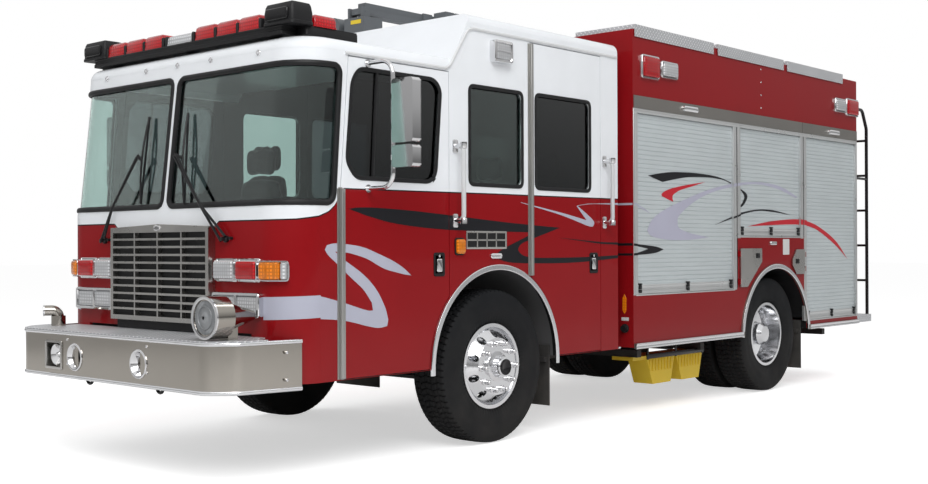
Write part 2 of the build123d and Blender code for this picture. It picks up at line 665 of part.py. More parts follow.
def cab_block(inset, z_low, z_eave, z_roof):
    """Cab volume: upright below the windshield, leaning above it, with the raised crew roof."""
    corner = cab_corner - inset
    lower = extrude(nose_outline(inset, 0, z_low, corner), amount=belt_z - z_low)
    shift = lean * (z_eave - belt_z)
    upper = loft([nose_outline(inset, 0, belt_z, corner), nose_outline(inset, shift, z_eave, corner)],
                 ruled=True)
    top = extrude(nose_outline(inset, shift, z_eave, corner), amount=z_roof - z_eave)
    return lower, upper, top


def crew_roof(inset, z_low):
    """Raised roof over the crew seats, with a sloping front."""
    half = cab_half - inset
    top = high_roof_z - inset
    start = roof_step + inset * 0.7
    outline = [(start, z_low), (start, eave_z), (start + ramp_run, top), (cab_back - inset, top),
               (cab_back - inset, z_low)]
    return side_prism(outline, -half, half)


lower, upper, top = cab_block(0, skirt_z, eave_z, low_roof_z)
top_edges = [e for e in top.edges() if abs(e.center().Z - low_roof_z) < 1 and e.center().Y < cab_back - 10]
top = fillet(top_edges, edge_round)
raised = crew_roof(0, belt_z)
raised_edges = [e for e in raised.edges() if e.center().Z > high_roof_z
                - 1 and abs(e.center().X) > cab_half - 1]
raised = fillet(raised_edges, edge_round)
outer = fused(lower, upper, top, raised)

in_lower, in_upper, in_top = cab_block(wall, skirt_z - 1, eave_z, low_roof_z - wall)
walls = outer - fused(in_lower, in_upper, in_top, crew_roof(wall, belt_z))
grille_cut = cab_half - 340
walls -= block(-grille_cut, grille_cut, nose_y - 1, nose_y + wall + 1, skirt_z - 1, front_panel_z)
walls -= block(-394, 394, nose_y - 1, nose_y + wall + 1, front_panel_z - 1, 1450)
walls -= block(-550, 550, nose_y - 1, nose_y + wall + 1, front_panel_z - 1, floor_z - floor_plate + 2)
walls -= block(-cab_half + wall + 1, cab_half - wall - 1, cab_back - wall - 1, cab_back + 1,
               skirt_z - 1, floor_z - floor_plate)
arch_y_front = front_axle + 8
for side in (-1, 1):
    x0, x1 = sorted((side * (cab_half - wall - 5), side * (cab_half + 5)))
    walls -= wheel_well(arch_radius, arch_y_front, arch_z, x0, x1)

# ---- cab floor: plate, wheelhouses and step wells ------------------------------------------------
tunnel_half = 420
tunnel_top = 1480
tunnel_back = front_axle + 230
floor_edge = cab_half - wall - clear
house_inner = 530            # inner wall of the wheelhouse over each steered wheel
house_plate = 20
house_radius = arch_radius + house_plate
well_x = cab_half - 290      # inner wall of the step wells
well_plate = 20
step_z = 600
step_wells = [(hinge_front + 45, front_axle - 730), (front_axle + 745, crew_door_back - 40)]
plate = extrude(nose_outline(wall + clear, 0, floor_z - floor_plate, cab_corner - wall - clear),
                amount=floor_plate)
plate -= block(-tunnel_half + 25, tunnel_half - 25, nose_y + wall - 1, tunnel_back - 25,
               floor_z - floor_plate - 1, floor_z + 1)
wheelhouse = wheel_well(house_radius, arch_y_front, arch_z, house_inner, floor_edge)
wheelhouse &= block(house_inner, floor_edge, front_axle - 900, front_axle + 900, skirt_z, 1400)
wheelhouse -= wheel_well(arch_radius, arch_y_front, arch_z, house_inner + house_plate, cab_half)
wheelhouse_gap = wheel_well(house_radius + clear, arch_y_front, arch_z, house_inner - clear, cab_half)
plate = plate - wheelhouse_gap - mirrored(wheelhouse_gap)
wells = []
for y0, y1 in step_wells:
    well = block(well_x - well_plate, floor_edge, y0 - well_plate, y1 + well_plate, step_z - well_plate,
                 floor_z)
    well -= block(well_x, cab_half, y0, y1, step_z, floor_z + 1)
    middle = (step_z + floor_z) / 2
    well += block(well_x - 1, well_x + 110, y0 - 1, y1 + 1, middle - well_plate, middle)
    gap = block(well_x - well_plate - clear, cab_half, y0 - well_plate - clear, y1 + well_plate + clear,
                floor_z - floor_plate - 1, floor_z + 1)
    plate = plate - gap - mirrored(gap)
    wells.append(well)
for side in (-1, 1):
    x0, x1 = sorted((side * (rail_outer + 42), side * (rail_outer + 70)))
    lug = block(x0, x1, pin_y - 22, pin_y + 60, pin_z - 22, floor_z - 10)
    plate += lug - rod("x", ((x0 + x1) / 2, pin_y, pin_z), cab_pin + fit, 100)

# ---- door and window outlines --------------------------------------------------------------------
door_low = skirt_z + 8
arch_gap_radius = arch_radius + 12
crew_door_top = 2846


def arch_height(y):
    """Height of the wheel arch line above a place along the cab."""
    run = y - arch_y_front
    return arch_z + sqrt(max(arch_gap_radius ** 2 - run ** 2, 0))


def door_prism(edges, grow):
    """Door outline with its lower corner cut round the wheel arch, through the full wall."""
    prism = side_prism([(y + dy * grow, z + dz * grow) for y, z, dy, dz in edges], cab_half - wall - 40,
                       cab_half + 40)
    arch = rod("x", (cab_half, arch_y_front, arch_z), arch_gap_radius - grow, 400)
    return prism - arch


front_door_edges = [(hinge_front, door_low, -1, -1), (front_door_back, door_low, 1, -1),
                    (front_door_back, eave_z - 16, 1, 1), (hinge_front + 67, eave_z - 16, -1, 1),
                    (hinge_front, belt_z + 140, -1, 0)]
crew_door_edges = [(crew_hinge, door_low, -1, -1), (crew_door_back, door_low, 1, -1),
                   (crew_door_back, crew_door_top, 1, 1), (crew_hinge, crew_door_top, -1, 1)]
front_window = [(front_axle - 1429, 1895), (front_axle - 1383, 2400), (front_axle - 1320, 2484),
                (front_axle - 640, 2484), (front_axle - 576, 2420), (front_axle - 625, 1850),
                (front_axle - 680, 1796), (front_axle - 1350, 1796)]
mid_window = [(front_axle - 295, 1796), (front_axle - 295, 2480), (front_axle + 285, 2480),
              (front_axle + 285, 1796)]
crew_window = [(front_axle + 431, 1793), (front_axle + 431, 2485), (front_axle + 1110, 2485),
               (front_axle + 1110, 1793)]
window_round = 70


def window(outline, x0, x1, grow=0, radius=window_round):
    """Window opening or pane with rounded corners."""
    face = make_face(Polyline([(x0, y, z) for y, z in outline], close=True))
    if grow:
        face = offset(face, amount=grow, kind=Kind.INTERSECTION)
    face = fillet(face.vertices(), radius)
    return extrude(face, amount=x1 - x0, dir=(1, 0, 0))


glass_plate = 6
glass_x = cab_half - 16
panes = [(front_window, 24), (mid_window, window_round), (crew_window, window_round)]
glass = [window(outline, glass_x - glass_plate, glass_x, -clear, radius) for outline, radius in panes]
holes = [window(outline, cab_half - wall - 30, cab_half + 30, 0, radius) for outline, radius in panes]

hinge_out = cab_half + 12
hinge_pin = 9


def door(edges, hole, hinge_y, low, high):
    """Door cut from the cab wall, with a full-length hinge barrel at its front edge."""
    panel = outer & door_prism(edges, 0)
    panel -= block(0, cab_half - wall, -length, length, 0, 4000)
    leaf = block(cab_half - 3, cab_half + 3, hinge_y + 2, hinge_y + 34, low, high)
    neck = block(cab_half, hinge_out, hinge_y - 1, hinge_y + 5, low, high)
    barrel = rod("z", (hinge_out, hinge_y, (low + high) / 2), hinge_pin, high - low)
    return fused(panel, leaf, neck, barrel) - hole


def fixed_leaf(hinge_y, low, high):
    """The hinge's other leaf on the cab, with its lip beside the barrel."""
    lip_end = hinge_y - hinge_pin - clear
    return fused(block(cab_half - 2, cab_half + 3, lip_end - 24, lip_end - 6, low, high),
                 block(cab_half - 2, hinge_out + 2, lip_end - 7, lip_end, low, high))


door_barrels = [(hinge_front, door_low, belt_z + 130),
                (crew_hinge, arch_height(crew_hinge) + 10, crew_door_top - 6)]
openings = [door_prism(front_door_edges, shut_gap), door_prism(crew_door_edges, shut_gap)]
front_door = door(front_door_edges, holes[0], *door_barrels[0])
crew_door = door(crew_door_edges, holes[2], *door_barrels[1])
save_pair("front_door", front_door)
save_pair("crew_door", crew_door)
save_pair("front_door_glass", glass[0])
save_pair("crew_door_glass", glass[2])

shield_low, shield_high, mullion = 1642, 2480, 34
side_reach = nose_y + 357


def shield_space(grow):
    """Space of one windshield opening, from the centre post round to the side."""
    points = [(nose_y - 60, shield_low - grow), (side_reach + grow, shield_low - grow),
              (side_reach + 61 + grow, shield_high + grow), (nose_y - 60, shield_high + grow)]
    return side_prism(points, mullion - grow, cab_half + 60)


for space in both(shield_space(0)):
    walls -= space
_, pane_outer, _ = cab_block(14, skirt_z, eave_z, low_roof_z)
_, pane_inner, _ = cab_block(14 + glass_plate, skirt_z, eave_z, low_roof_z)
pane = (pane_outer - pane_inner) & shield_space(-clear)
for cut in openings:
    walls -= cut
    walls -= mirrored(cut)
walls -= holes[1]
walls -= mirrored(holes[1])
for barrel in door_barrels:
    leaf = fixed_leaf(*barrel)
    walls += leaf
    walls += mirrored(leaf)


roof_pan = 66            # depth of the raised roof panel, less than its round edge


def roof_zone(grow):
    """Space of the roof panel: the low roof, the ramp and the raised roof with their round edges."""
    low_seam, high_seam = eave_z + 12 - grow, high_roof_z - roof_pan - grow
    ramp_foot = roof_step + 80 + grow
    ramp_head = ramp_foot + (high_seam - low_seam) * ramp_run / (high_roof_z - eave_z)
    outline = [(nose_y - 50, low_seam), (ramp_foot, low_seam), (ramp_head, high_seam),
               (cab_back + 50, high_seam),
               (cab_back + 50, high_roof_z + 50), (nose_y - 50, high_roof_z + 50)]
    return side_prism(outline, -cab_half - 50, cab_half + 50)


def wall_zone(y0, y1):
    """Space of the wall panels between two places along the cab."""
    return block(-cab_half - 50, cab_half + 50, y0, y1, 0, high_roof_z)


front_seam = nose_y + cab_corner
back_seam = cab_back - wall - 10
lower_walls = walls - roof_zone(clear)
save("cab_shell", walls & roof_zone(0), lower_walls & wall_zone(nose_y - 100, front_seam),
     lower_walls & wall_zone(front_seam + clear, back_seam - clear),
     lower_walls & wall_zone(back_seam, cab_back + 50))
floor_panels = [plate - openings - [mirrored(cut) for cut in openings]]
floor_panels += [p for panel in (wheelhouse, *wells) for p in both(panel - openings)]
save("cab_floor", *floor_panels)
save("cab_glass", *both(pane), *both(glass[1]))

# ---- grille and lamps on the cab -----------------------------------------------------------------
grille_half = 546
grille_low = 898
grille_high = 1504
grille_face = nose_y - 55
grille_columns, grille_rows = 4, 11
grille_frame = 30
bar_width = 14
cell_run = (2 * (grille_half - grille_frame) - bar_width * (grille_columns - 1)) / grille_columns
cell_rise = (grille_high - grille_low - 2 * grille_frame - bar_width * (grille_rows - 1)) / grille_rows
cells = [block(-grille_half + grille_frame + c * (cell_run + bar_width),
               -grille_half + grille_frame + c * (cell_run + bar_width) + cell_run, grille_face - 1, nose_y,
               grille_low + grille_frame + r * (cell_rise + bar_width),
               grille_low + grille_frame + r * (cell_rise + bar_width) + cell_rise)
         for c in range(grille_columns) for r in range(grille_rows)]
grille = block(-grille_half, grille_half, grille_face, nose_y - clear, grille_low, grille_high) - cells
save("grille", grille)

cluster_in, cluster_out = 553, cab_half - 72
cluster_low, cluster_high = 1167, 1305
headlight_low, headlight_high, headlight_out = 950, 1101, cab_half - 232
corner_x = cab_half - cab_corner
nose_corner = rod("z", (corner_x, nose_y + cab_corner, 1100), cab_corner + clear, 900)
nose_flat = block(0, corner_x, nose_y - clear, nose_y + 200, 800, 1500)
cluster_plan = [(cluster_in, grille_face), (cab_half - 210, grille_face),
                (cab_half - 130, grille_face + 20),
                (cluster_out, grille_face + 85),
                (cluster_out, nose_y + 70), (cluster_in, nose_y + 70)]
cluster = plan_prism(cluster_plan, cluster_low, cluster_high) - nose_corner - nose_flat
headlight = block(cluster_in + 4, headlight_out, grille_face, nose_y + 30, headlight_low, headlight_high)
headlight = headlight - nose_corner - nose_flat
flood = block(cab_half + clear, cab_half + 60, front_axle - 76, front_axle + 119, 2658, 2815)
side_marker = block(cab_half + clear, cab_half + 30, front_axle - 447, front_axle - 350, 1318, 1435)
save("cab_lamps", *[p for lamp in (cluster, headlight, flood, side_marker) for p in both(lamp)])

# ---- dashboard, steering column and engine tunnel ------------------------------------------------
steer_spot = (cab_half - 540, nose_y + 560, 1475)
steer_lean = 32
steer_axis = (0, sin(radians(steer_lean)), cos(radians(steer_lean)))
steer_plane = Plane(origin=steer_spot, x_dir=(1, 0, 0), z_dir=steer_axis)
dash_outline = [(nose_y + wall + 12, 1250), (nose_y + wall + 12, 1610), (nose_y + 160, 1630),
                (nose_y + 330, 1560),
                (nose_y + 360, 1300), (nose_y + 300, 1250)]
dash_limit = extrude(nose_outline(wall + 8, 0, 1200, cab_corner - wall - 8), amount=500)
dash = side_prism(dash_outline, -cab_half + wall + 12, cab_half - wall - 12) & dash_limit
tunnel = block(-tunnel_half, tunnel_half, nose_y + wall + 2, tunnel_back, floor_z + clear, tunnel_top)
tunnel_space = block(-tunnel_half + 25, tunnel_half - 25, nose_y + wall, tunnel_back - 25, floor_z - 10,
                     tunnel_top - 25)
pod = block(steer_spot[0] - 60, steer_spot[0] + 60, nose_y + 250, nose_y + 420, 1180, 1400)
hub_foot = -34
column_run = 270
column = steer_plane * Pos(0, 0, hub_foot - clear - column_run / 2) * Cylinder(32, column_run)
save("cab_interior", fused(dash, tunnel) - tunnel_space + pod + column)

wheel_rim = 225
steering = fused(steer_plane * Torus(wheel_rim, 15),
                 steer_plane * Pos(0, 0, hub_foot + 22) * Cylinder(42, 44))
for turn in (90, 210, 330):
    steering += steer_plane * Rot(0, 0, turn) * Pos(wheel_rim / 2, 0, -4) * Box(wheel_rim, 34, 12)
save("steering_wheel", steering)

# ---- seats ---------------------------------------------------------------------------------------
seat_half = 235
cushion_rise = 100


def seat(x, y, base_z, cushion_z, facing):
    """Pedestal seat; facing -1 looks forward. The place is the front edge of its back."""
    def run(a, b, *rest):
        return block(*rest[:2], *sorted((y + facing * a, y + facing * b)), *rest[2:])
    pedestal = run(60, 380, x - 180, x + 180, base_z, cushion_z)
    cushion = run(-20, 470, x - seat_half, x + seat_half, cushion_z, cushion_z + cushion_rise)
    back = run(-110, 0, x - seat_half, x + seat_half, cushion_z + 20, cushion_z + 640)
    head = run(-95, -15, x - 150, x + 150, cushion_z + 630, cushion_z + 860)
    return fused(pedestal, cushion, back, head)


driver_x = cab_half - 510
crew_x = cab_half - 440
seats = [seat(x, front_axle - 560, floor_z + clear, 1290, -1) for x in (-driver_x, driver_x)]
seats += [seat(x, front_axle - 330, arch_z + house_radius + clear, 1330, 1) for x in (-crew_x, crew_x)]
seats += [seat(x, cab_back - wall - 120, floor_z + clear, 1290, -1) for x in (-590, 0, 590)]
save("seats", *seats)

# ---- roof light bar ------------------------------------------------------------------------------
bar_y = front_axle - 1700
bar_half = cab_half - 200
bar_low = low_roof_z + 12
bar_high = bar_low + 58
lens_rise = 92
bar_modules = [(-866, -650), (-641, -425), (-415, -199), (-153, 129), (158, 375), (386, 602), (612, 828)]
light_bar = [block(-bar_half, bar_half, bar_y - 50, bar_y + 60, bar_low, bar_high)]
light_bar += [block(x0, x1, bar_y - 70, bar_y + 70, bar_high - 2, bar_high + lens_rise) for x0,
              x1 in bar_modules]
light_bar += [block(x, x + 60, bar_y - 4, bar_y + 60, low_roof_z + clear, bar_low + 5) for x in (-900,
                                                                                                 -30, 840)]
pod_half = 140
for side in (-1, 1):
    pod_x = side * (bar_half - 20)
    light_bar.append(rounded(block(pod_x - pod_half, pod_x + pod_half, bar_y - 90, bar_y + 95, bar_high - 5,
                                   bar_high + 132), Axis.Z, 60))
    arm_x = side * (bar_half + 40)
    light_bar.append(block(arm_x - 50, arm_x + 50, bar_y + 50, bar_y + 480, bar_low, bar_high))
    light_bar.append(block(arm_x - 60, arm_x + 60, bar_y + 110, bar_y + 300, bar_high - 2, bar_high + 78))
    light_bar.append(block(arm_x - 30, arm_x + 30, bar_y + 400, bar_y + 460, low_roof_z + clear,
                           bar_low + 5))
save("light_bar", fused(*light_bar))

# ---- grab rails and mirrors ----------------------------------------------------------------------
rail_x = cab_half + 80
grab_radius = 16
rails = []
for y, z0, z1 in ((front_axle - 440, 1490, 2110), (front_axle + 1292, 1500, 2095)):
    path = [(cab_half + clear, y, z0 + 60), (rail_x, y, z0 + 60), (rail_x, y, z1 - 60),
            (cab_half + clear, y, z1 - 60)]
    rails += both(pipe(path, grab_radius, 40))
save("grab_rails", *rails)

mirror_y = front_axle - 1250
mirror_pole = cab_half + 225
mirror_in, mirror_out = mirror_pole + 26, mirror_pole + 204
arm = pipe([(cab_half + clear, mirror_y, 2518), (mirror_pole, mirror_y, 2518),
            (mirror_pole, mirror_y, 1738),
            (cab_half + clear, mirror_y, 1738)], 14, 90)
heads = [rounded(block(mirror_in, mirror_out, mirror_y - 38, mirror_y + 38, z0, z1), Axis.Y, 22)
         for z0, z1 in ((2005, 2393), (1855, 1990))]
clamps = [block(mirror_pole - 4, mirror_in + 6, mirror_y - 14, mirror_y + 14, z - 16,
                z + 16) for z in (1920, 2110, 2290)]
feet = [rod("x", (cab_half + 5, mirror_y, z), 25, 9) for z in (1738, 2518)]
save_pair("mirror", fused(arm, *heads, *clamps, *feet))

# ---- light tower ---------------------------------------------------------------------------------
tower_front = front_axle - 200
tower_half = 108
boom_hinge = (0, tower_front + 50, high_roof_z + 185)
boom_back = front_axle + 565
head_hinge = (0, boom_back + 22, high_roof_z + 235)
base = block(-tower_half, tower_half, tower_front, tower_front + 193, high_roof_z + clear,
             high_roof_z + 135)
cheeks = [block(*sorted((s * 62, s * 80)), boom_hinge[1] - 40, boom_hinge[1] + 40, high_roof_z + 130,
                boom_hinge[2] + 28)
          for s in (-1, 1)]
pin = rod("x", boom_hinge, 12, 164)
search_lamp = fused(rod("y", (-tower_half - 130, tower_front + 60, high_roof_z + 95), 68, 110),
                    rod("z", (-tower_half - 130, tower_front + 60, high_roof_z + 20), 18, 39.4))
save("tower_base", fused(base, *cheeks, pin), search_lamp)
tubes = [block(-54, 54, boom_hinge[1] - 26, boom_back, boom_hinge[2] - 24, boom_hinge[2] + 22),
         block(-40, 40, boom_hinge[1] + 30, boom_back - 20, boom_hinge[2] + 20, boom_hinge[2] + 70),
         block(-54, -36, boom_back - 60, boom_back + 40, boom_hinge[2], head_hinge[2] + 26),
         block(36, 54, boom_back - 60, boom_back + 40, boom_hinge[2], head_hinge[2] + 26),
         rod("x", head_hinge, 9, 110)]
boom = fused(*tubes) - rod("x", boom_hinge, 12 + fit, 200)
save("tower_boom", boom)
lamp_back = boom_back + 285
head = fused(block(-28, 28, head_hinge[1] - 14, lamp_back - 40, head_hinge[2] - 14, head_hinge[2] + 14),
             *[block(x - 66, x + 66, y, y + 96, head_hinge[2] - 28, head_hinge[2] + 44)
               for x in (-110, 110) for y in (boom_back + 70, lamp_back - 100)],
             block(-60, 60, boom_back + 100, boom_back + 140, head_hinge[2] - 10, head_hinge[2] + 10),
             block(-60, 60, lamp_back - 80, lamp_back - 40, head_hinge[2] - 10, head_hinge[2] + 10))
save("tower_head", head - rod("x", head_hinge, 9 + fit, 200))
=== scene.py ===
"""Looks of a custom-cab fire engine. Metres, +Z up; the engine faces -Y and +X is its left side."""
import math

import bmesh
import bpy
import numpy as np
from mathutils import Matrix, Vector
from mathutils.geometry import delaunay_2d_cdt


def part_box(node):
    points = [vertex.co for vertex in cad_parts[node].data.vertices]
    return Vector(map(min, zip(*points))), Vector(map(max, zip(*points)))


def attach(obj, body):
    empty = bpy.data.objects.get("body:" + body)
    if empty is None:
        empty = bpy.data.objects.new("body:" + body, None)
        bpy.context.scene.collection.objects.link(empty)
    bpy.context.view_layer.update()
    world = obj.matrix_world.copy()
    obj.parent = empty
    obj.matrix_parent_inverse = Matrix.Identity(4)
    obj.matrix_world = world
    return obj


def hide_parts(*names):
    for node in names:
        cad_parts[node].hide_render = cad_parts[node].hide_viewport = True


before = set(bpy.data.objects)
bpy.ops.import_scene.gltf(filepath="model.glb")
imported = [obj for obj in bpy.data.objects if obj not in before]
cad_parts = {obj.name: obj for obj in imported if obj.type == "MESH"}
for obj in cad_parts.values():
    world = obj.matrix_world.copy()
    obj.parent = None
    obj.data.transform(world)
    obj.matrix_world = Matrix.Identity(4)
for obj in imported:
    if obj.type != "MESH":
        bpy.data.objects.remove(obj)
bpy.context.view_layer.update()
sides = (("left", 1), ("right", -1))

# ---- Camera, floor and light ---------------------------------------------------------------------
# A plain pale studio: a wide floor, a pale sky that shows in metal and glass, one broad lamp high
# at the front left and two weaker ones, at the other side and behind. Only the first shows in paint.
scene = bpy.context.scene
scene.view_settings.view_transform = "Standard"
camera_data = bpy.data.cameras.new("camera")
camera_data.lens = 46.76
camera_data.sensor_width = 36
camera_data.shift_x = -0.0009
camera_data.shift_y = 0.0015
camera = bpy.data.objects.new("camera", camera_data)
camera.location = (6.6784, -8.4031, 1.3687)
camera.rotation_euler = (math.radians(90.2), math.radians(0.2), math.radians(41.7))
scene.collection.objects.link(camera)
scene.camera = camera


def wire(tree, kind, settings=(), **sockets):
    """Adds a node. A socket given another node's output is linked; any other value is set."""
    made = tree.nodes.new(kind)
    for key, value in dict(settings).items():
        setattr(made, key, value)
    for key, value in sockets.items():
        socket = made.inputs[int(key[1:])] if key[1:].isdigit() else made.inputs[key.replace("_", " ")]
        if isinstance(value, bpy.types.NodeSocket):
            tree.links.new(value, socket)
        else:
            socket.default_value = value
    return made


def ramp(tree, factor, stops):
    """Colour ramp from (place, colour) stops."""
    made = wire(tree, "ShaderNodeValToRGB", Fac=factor)
    elements = made.color_ramp.elements
    for place, color in stops[2:]:
        elements.new(place)
    for element, (place, color) in zip(elements, sorted(stops)):
        element.position = place
        element.color = (*color, 1) if isinstance(color, tuple) else (color, color, color, 1)
    return made.outputs["Color"]


def calc(tree, operation, *values):
    """One maths node over sockets or numbers."""
    return wire(tree, "ShaderNodeMath", {"operation": operation},
                **{f"i{k}": v for k, v in enumerate(values)}).outputs[0]


def mix(tree, factor, under, over, **settings):
    """Colour that is under where the factor is 0 and over where it is 1."""
    return wire(tree, "ShaderNodeMix", {"data_type": "RGBA", **settings}, i0=factor, i6=under,
                i7=over).outputs[2]


def remap(tree, value, low=0.0, high=1.0, to_low=0.0, to_high=1.0, **settings):
    """Value carried from low..high to to_low..to_high, and held there."""
    return wire(tree, "ShaderNodeMapRange", settings, Value=value, i1=low, i2=high, i3=to_low,
                i4=to_high).outputs["Result"]


def place_in(tree):
    """Place on a surface, in the object's own coordinates."""
    return wire(tree, "ShaderNodeTexCoord").outputs["Object"]


world = bpy.data.worlds.new("studio")
world.use_nodes = True
scene.world = world
sky = world.node_tree
sky.nodes.clear()
way = wire(sky, "ShaderNodeTexCoord").outputs["Generated"]
height = wire(sky, "ShaderNodeSeparateXYZ", Vector=way).outputs["Z"]
level = remap(sky, height, -1.0, 1.0)
shade = ramp(sky, level, [(0.0, 0.62), (1.0, 0.92), (0.40, 0.50), (0.485, 0.30), (0.515, 0.16), (0.56, 0.40),
                          (0.72, 0.80)])
light_path = wire(sky, "ShaderNodeLightPath").outputs
direct = calc(sky, "MAXIMUM", light_path["Is Camera Ray"], light_path["Is Transmission Ray"])
seen = calc(sky, "MAXIMUM", direct, light_path["Is Glossy Ray"])
shown_sky = mix(sky, direct, shade, (1, 1, 1, 1))
soft = wire(sky, "ShaderNodeBackground", Color=shade, Strength=0.60).outputs[0]
white = wire(sky, "ShaderNodeBackground", Color=shown_sky, Strength=1.0).outputs[0]
both_skies = wire(sky, "ShaderNodeMixShader", i0=seen, i1=soft, i2=white).outputs[0]
wire(sky, "ShaderNodeOutputWorld", Surface=both_skies)

lamp_aim = Vector((0, 0, 1.2))
lamps = [("key_lamp", (7.0, -7.5, 8.5), 7.0, 740), ("fill_lamp", (-8.0, -5.0, 6.0), 8.0, 220),
         ("back_lamp", (3.0, 9.0, 7.0), 7.0, 220)]
for lamp_name, spot, size, power in lamps:
    lamp_data = bpy.data.lights.new(lamp_name, "AREA")
    lamp_data.size = size
    lamp_data.energy = power
    lamp = bpy.data.objects.new(lamp_name, lamp_data)
    lamp.location = spot
    lamp.rotation_euler = (lamp_aim - Vector(spot)).to_track_quat("-Z", "Y").to_euler()
    lamp.visible_glossy = lamp_name == "key_lamp"
    scene.collection.objects.link(lamp)

floor_material = bpy.data.materials.new("studio_floor")
floor_material.use_nodes = True
ground = floor_material.node_tree
ground.nodes.clear()
ray = wire(ground, "ShaderNodeLightPath").outputs
plain_view = calc(ground, "MAXIMUM", ray["Is Camera Ray"], ray["Is Glossy Ray"])
path_kind = calc(ground, "MAXIMUM", plain_view, ray["Is Transmission Ray"])
pale = wire(ground, "ShaderNodeBsdfDiffuse", Color=(0.86, 0.86, 0.86, 1)).outputs[0]
glow_level = remap(ground, ray["Is Glossy Ray"], to_low=0.56, to_high=0.05)
glow = wire(ground, "ShaderNodeEmission", Color=(1, 1, 1, 1), Strength=glow_level).outputs[0]
lifted = wire(ground, "ShaderNodeAddShader", i0=pale, i1=glow).outputs[0]
floor_look = wire(ground, "ShaderNodeMixShader", i0=path_kind, i1=pale, i2=lifted).outputs[0]
wire(ground, "ShaderNodeOutputMaterial", Surface=floor_look)
floor_mesh = bpy.data.meshes.new("floor")
floor_half = 90
floor_corners = [(x * floor_half, y * floor_half, 0) for x, y in ((-1, -1), (1, -1), (1, 1), (-1, 1))]
floor_mesh.from_pydata(floor_corners, [], [(0, 1, 2, 3)])
floor_mesh.materials.append(floor_material)
floor = bpy.data.objects.new("floor", floor_mesh)
scene.collection.objects.link(floor)

# ---- Chassis frame, axles, springs and driveline -------------------------------------------------
# Pressed and forged steel under gloss black chassis paint, with a film of road dust on the parts
# that hang lowest.


def group(name, inputs, outputs):
    """Empty shader group with named sockets of (name, kind, start value)."""
    tree = bpy.data.node_groups.new(name, "ShaderNodeTree")
    for label, kind, value in inputs:
        socket = tree.interface.new_socket(label, in_out="INPUT", socket_type=kind)
        if value is not None:
            socket.default_value = value
    for label, kind in outputs:
        tree.interface.new_socket(label, in_out="OUTPUT", socket_type=kind)
    return tree, tree.nodes.new("NodeGroupInput").outputs, tree.nodes.new("NodeGroupOutput").inputs


number, arrow = "NodeSocketFloat", "NodeSocketVector"
grain_group, given, gives = group(
    "surface_grain",
    [("Scale", number, 40.0), ("Rough Low", number, 0.3), ("Rough High", number, 0.5), ("Depth", number, 0.1)],
    [("Roughness", number), ("Tint", number), ("Normal", arrow)])
place = place_in(grain_group)
cloud = wire(grain_group, "ShaderNodeTexNoise", Vector=place, Scale=3.1, Detail=4.0).outputs["Fac"]
fine = wire(grain_group, "ShaderNodeTexNoise", Vector=place, Scale=given["Scale"], Detail=3.0).outputs["Fac"]
grain_group.links.new(remap(grain_group, cloud, 0.3, 0.7, given["Rough Low"], given["Rough High"]),
                      gives["Roughness"])
grain_group.links.new(remap(grain_group, cloud, 0.2, 0.8, 0.965, 1.03), gives["Tint"])
grain_group.links.new(wire(grain_group, "ShaderNodeBump", Strength=given["Depth"], Distance=0.002,
                           Height=fine).outputs["Normal"], gives["Normal"])

film_group, given, gives = group("road_film", [("Reach", number, 1.0), ("Amount", number, 0.3)],
                                 [("Mask", number)])
place = place_in(film_group)
height = wire(film_group, "ShaderNodeSeparateXYZ", Vector=place).outputs["Z"]
fall = remap(film_group, height, 0.0, given["Reach"], 1.0, 0.0)
patch = wire(film_group, "ShaderNodeTexNoise", Vector=place, Scale=6.0, Detail=6.0).outputs["Fac"]
mask = calc(film_group, "MULTIPLY", fall, patch)
film_group.links.new(calc(film_group, "MULTIPLY", mask, given["Amount"]), gives["Mask"])


def bare(name, metallic=0.0, **sockets):
    """Material with one Principled shader, whose even values are set on its own sockets."""
    material = bpy.data.materials.new(name)
    material.use_nodes = True
    shader = material.node_tree.nodes["Principled BSDF"]
    shader.inputs["Metallic"].default_value = metallic
    for key, value in sockets.items():
        shader.inputs[key.replace("_", " ")].default_value = value
    return material, material.node_tree, shader.inputs


def grained(tree, shader, scale, low, high, depth):
    """Grain group on roughness and normal; returns its tint."""
    grain = tree.nodes.new("ShaderNodeGroup")
    grain.node_tree = grain_group
    for key, value in (("Scale", scale), ("Rough Low", low), ("Rough High", high), ("Depth", depth)):
        grain.inputs[key].default_value = value
    tree.links.new(grain.outputs["Roughness"], shader["Roughness"])
    tree.links.new(grain.outputs["Normal"], shader["Normal"])
    return grain.outputs["Tint"]


road_dust = (0.30, 0.27, 0.23, 1)


def tinted(tree, shader, color, tint, reach=0.0, amount=0.0):
    """Base colour times the tint, under a film of pale road dust."""
    start = color if isinstance(color, bpy.types.NodeSocket) else (*color, 1)
    result = mix(tree, 1.0, start, tint, blend_type="MULTIPLY")
    if amount:
        film = tree.nodes.new("ShaderNodeGroup")
        film.node_tree = film_group
        film.inputs["Reach"].default_value = reach
        film.inputs["Amount"].default_value = amount
        result = mix(tree, film.outputs["Mask"], result, road_dust)
    tree.links.new(result, shader["Base Color"])


def finish_of(name, color, low, high, scale=60.0, depth=0.08, metallic=0.0, reach=0.0, amount=0.0, **sockets):
    """A grained, tinted material."""
    material, tree, shader = bare(name, metallic, **sockets)
    tinted(tree, shader, color, grained(tree, shader, scale, low, high, depth), reach, amount)
    return material


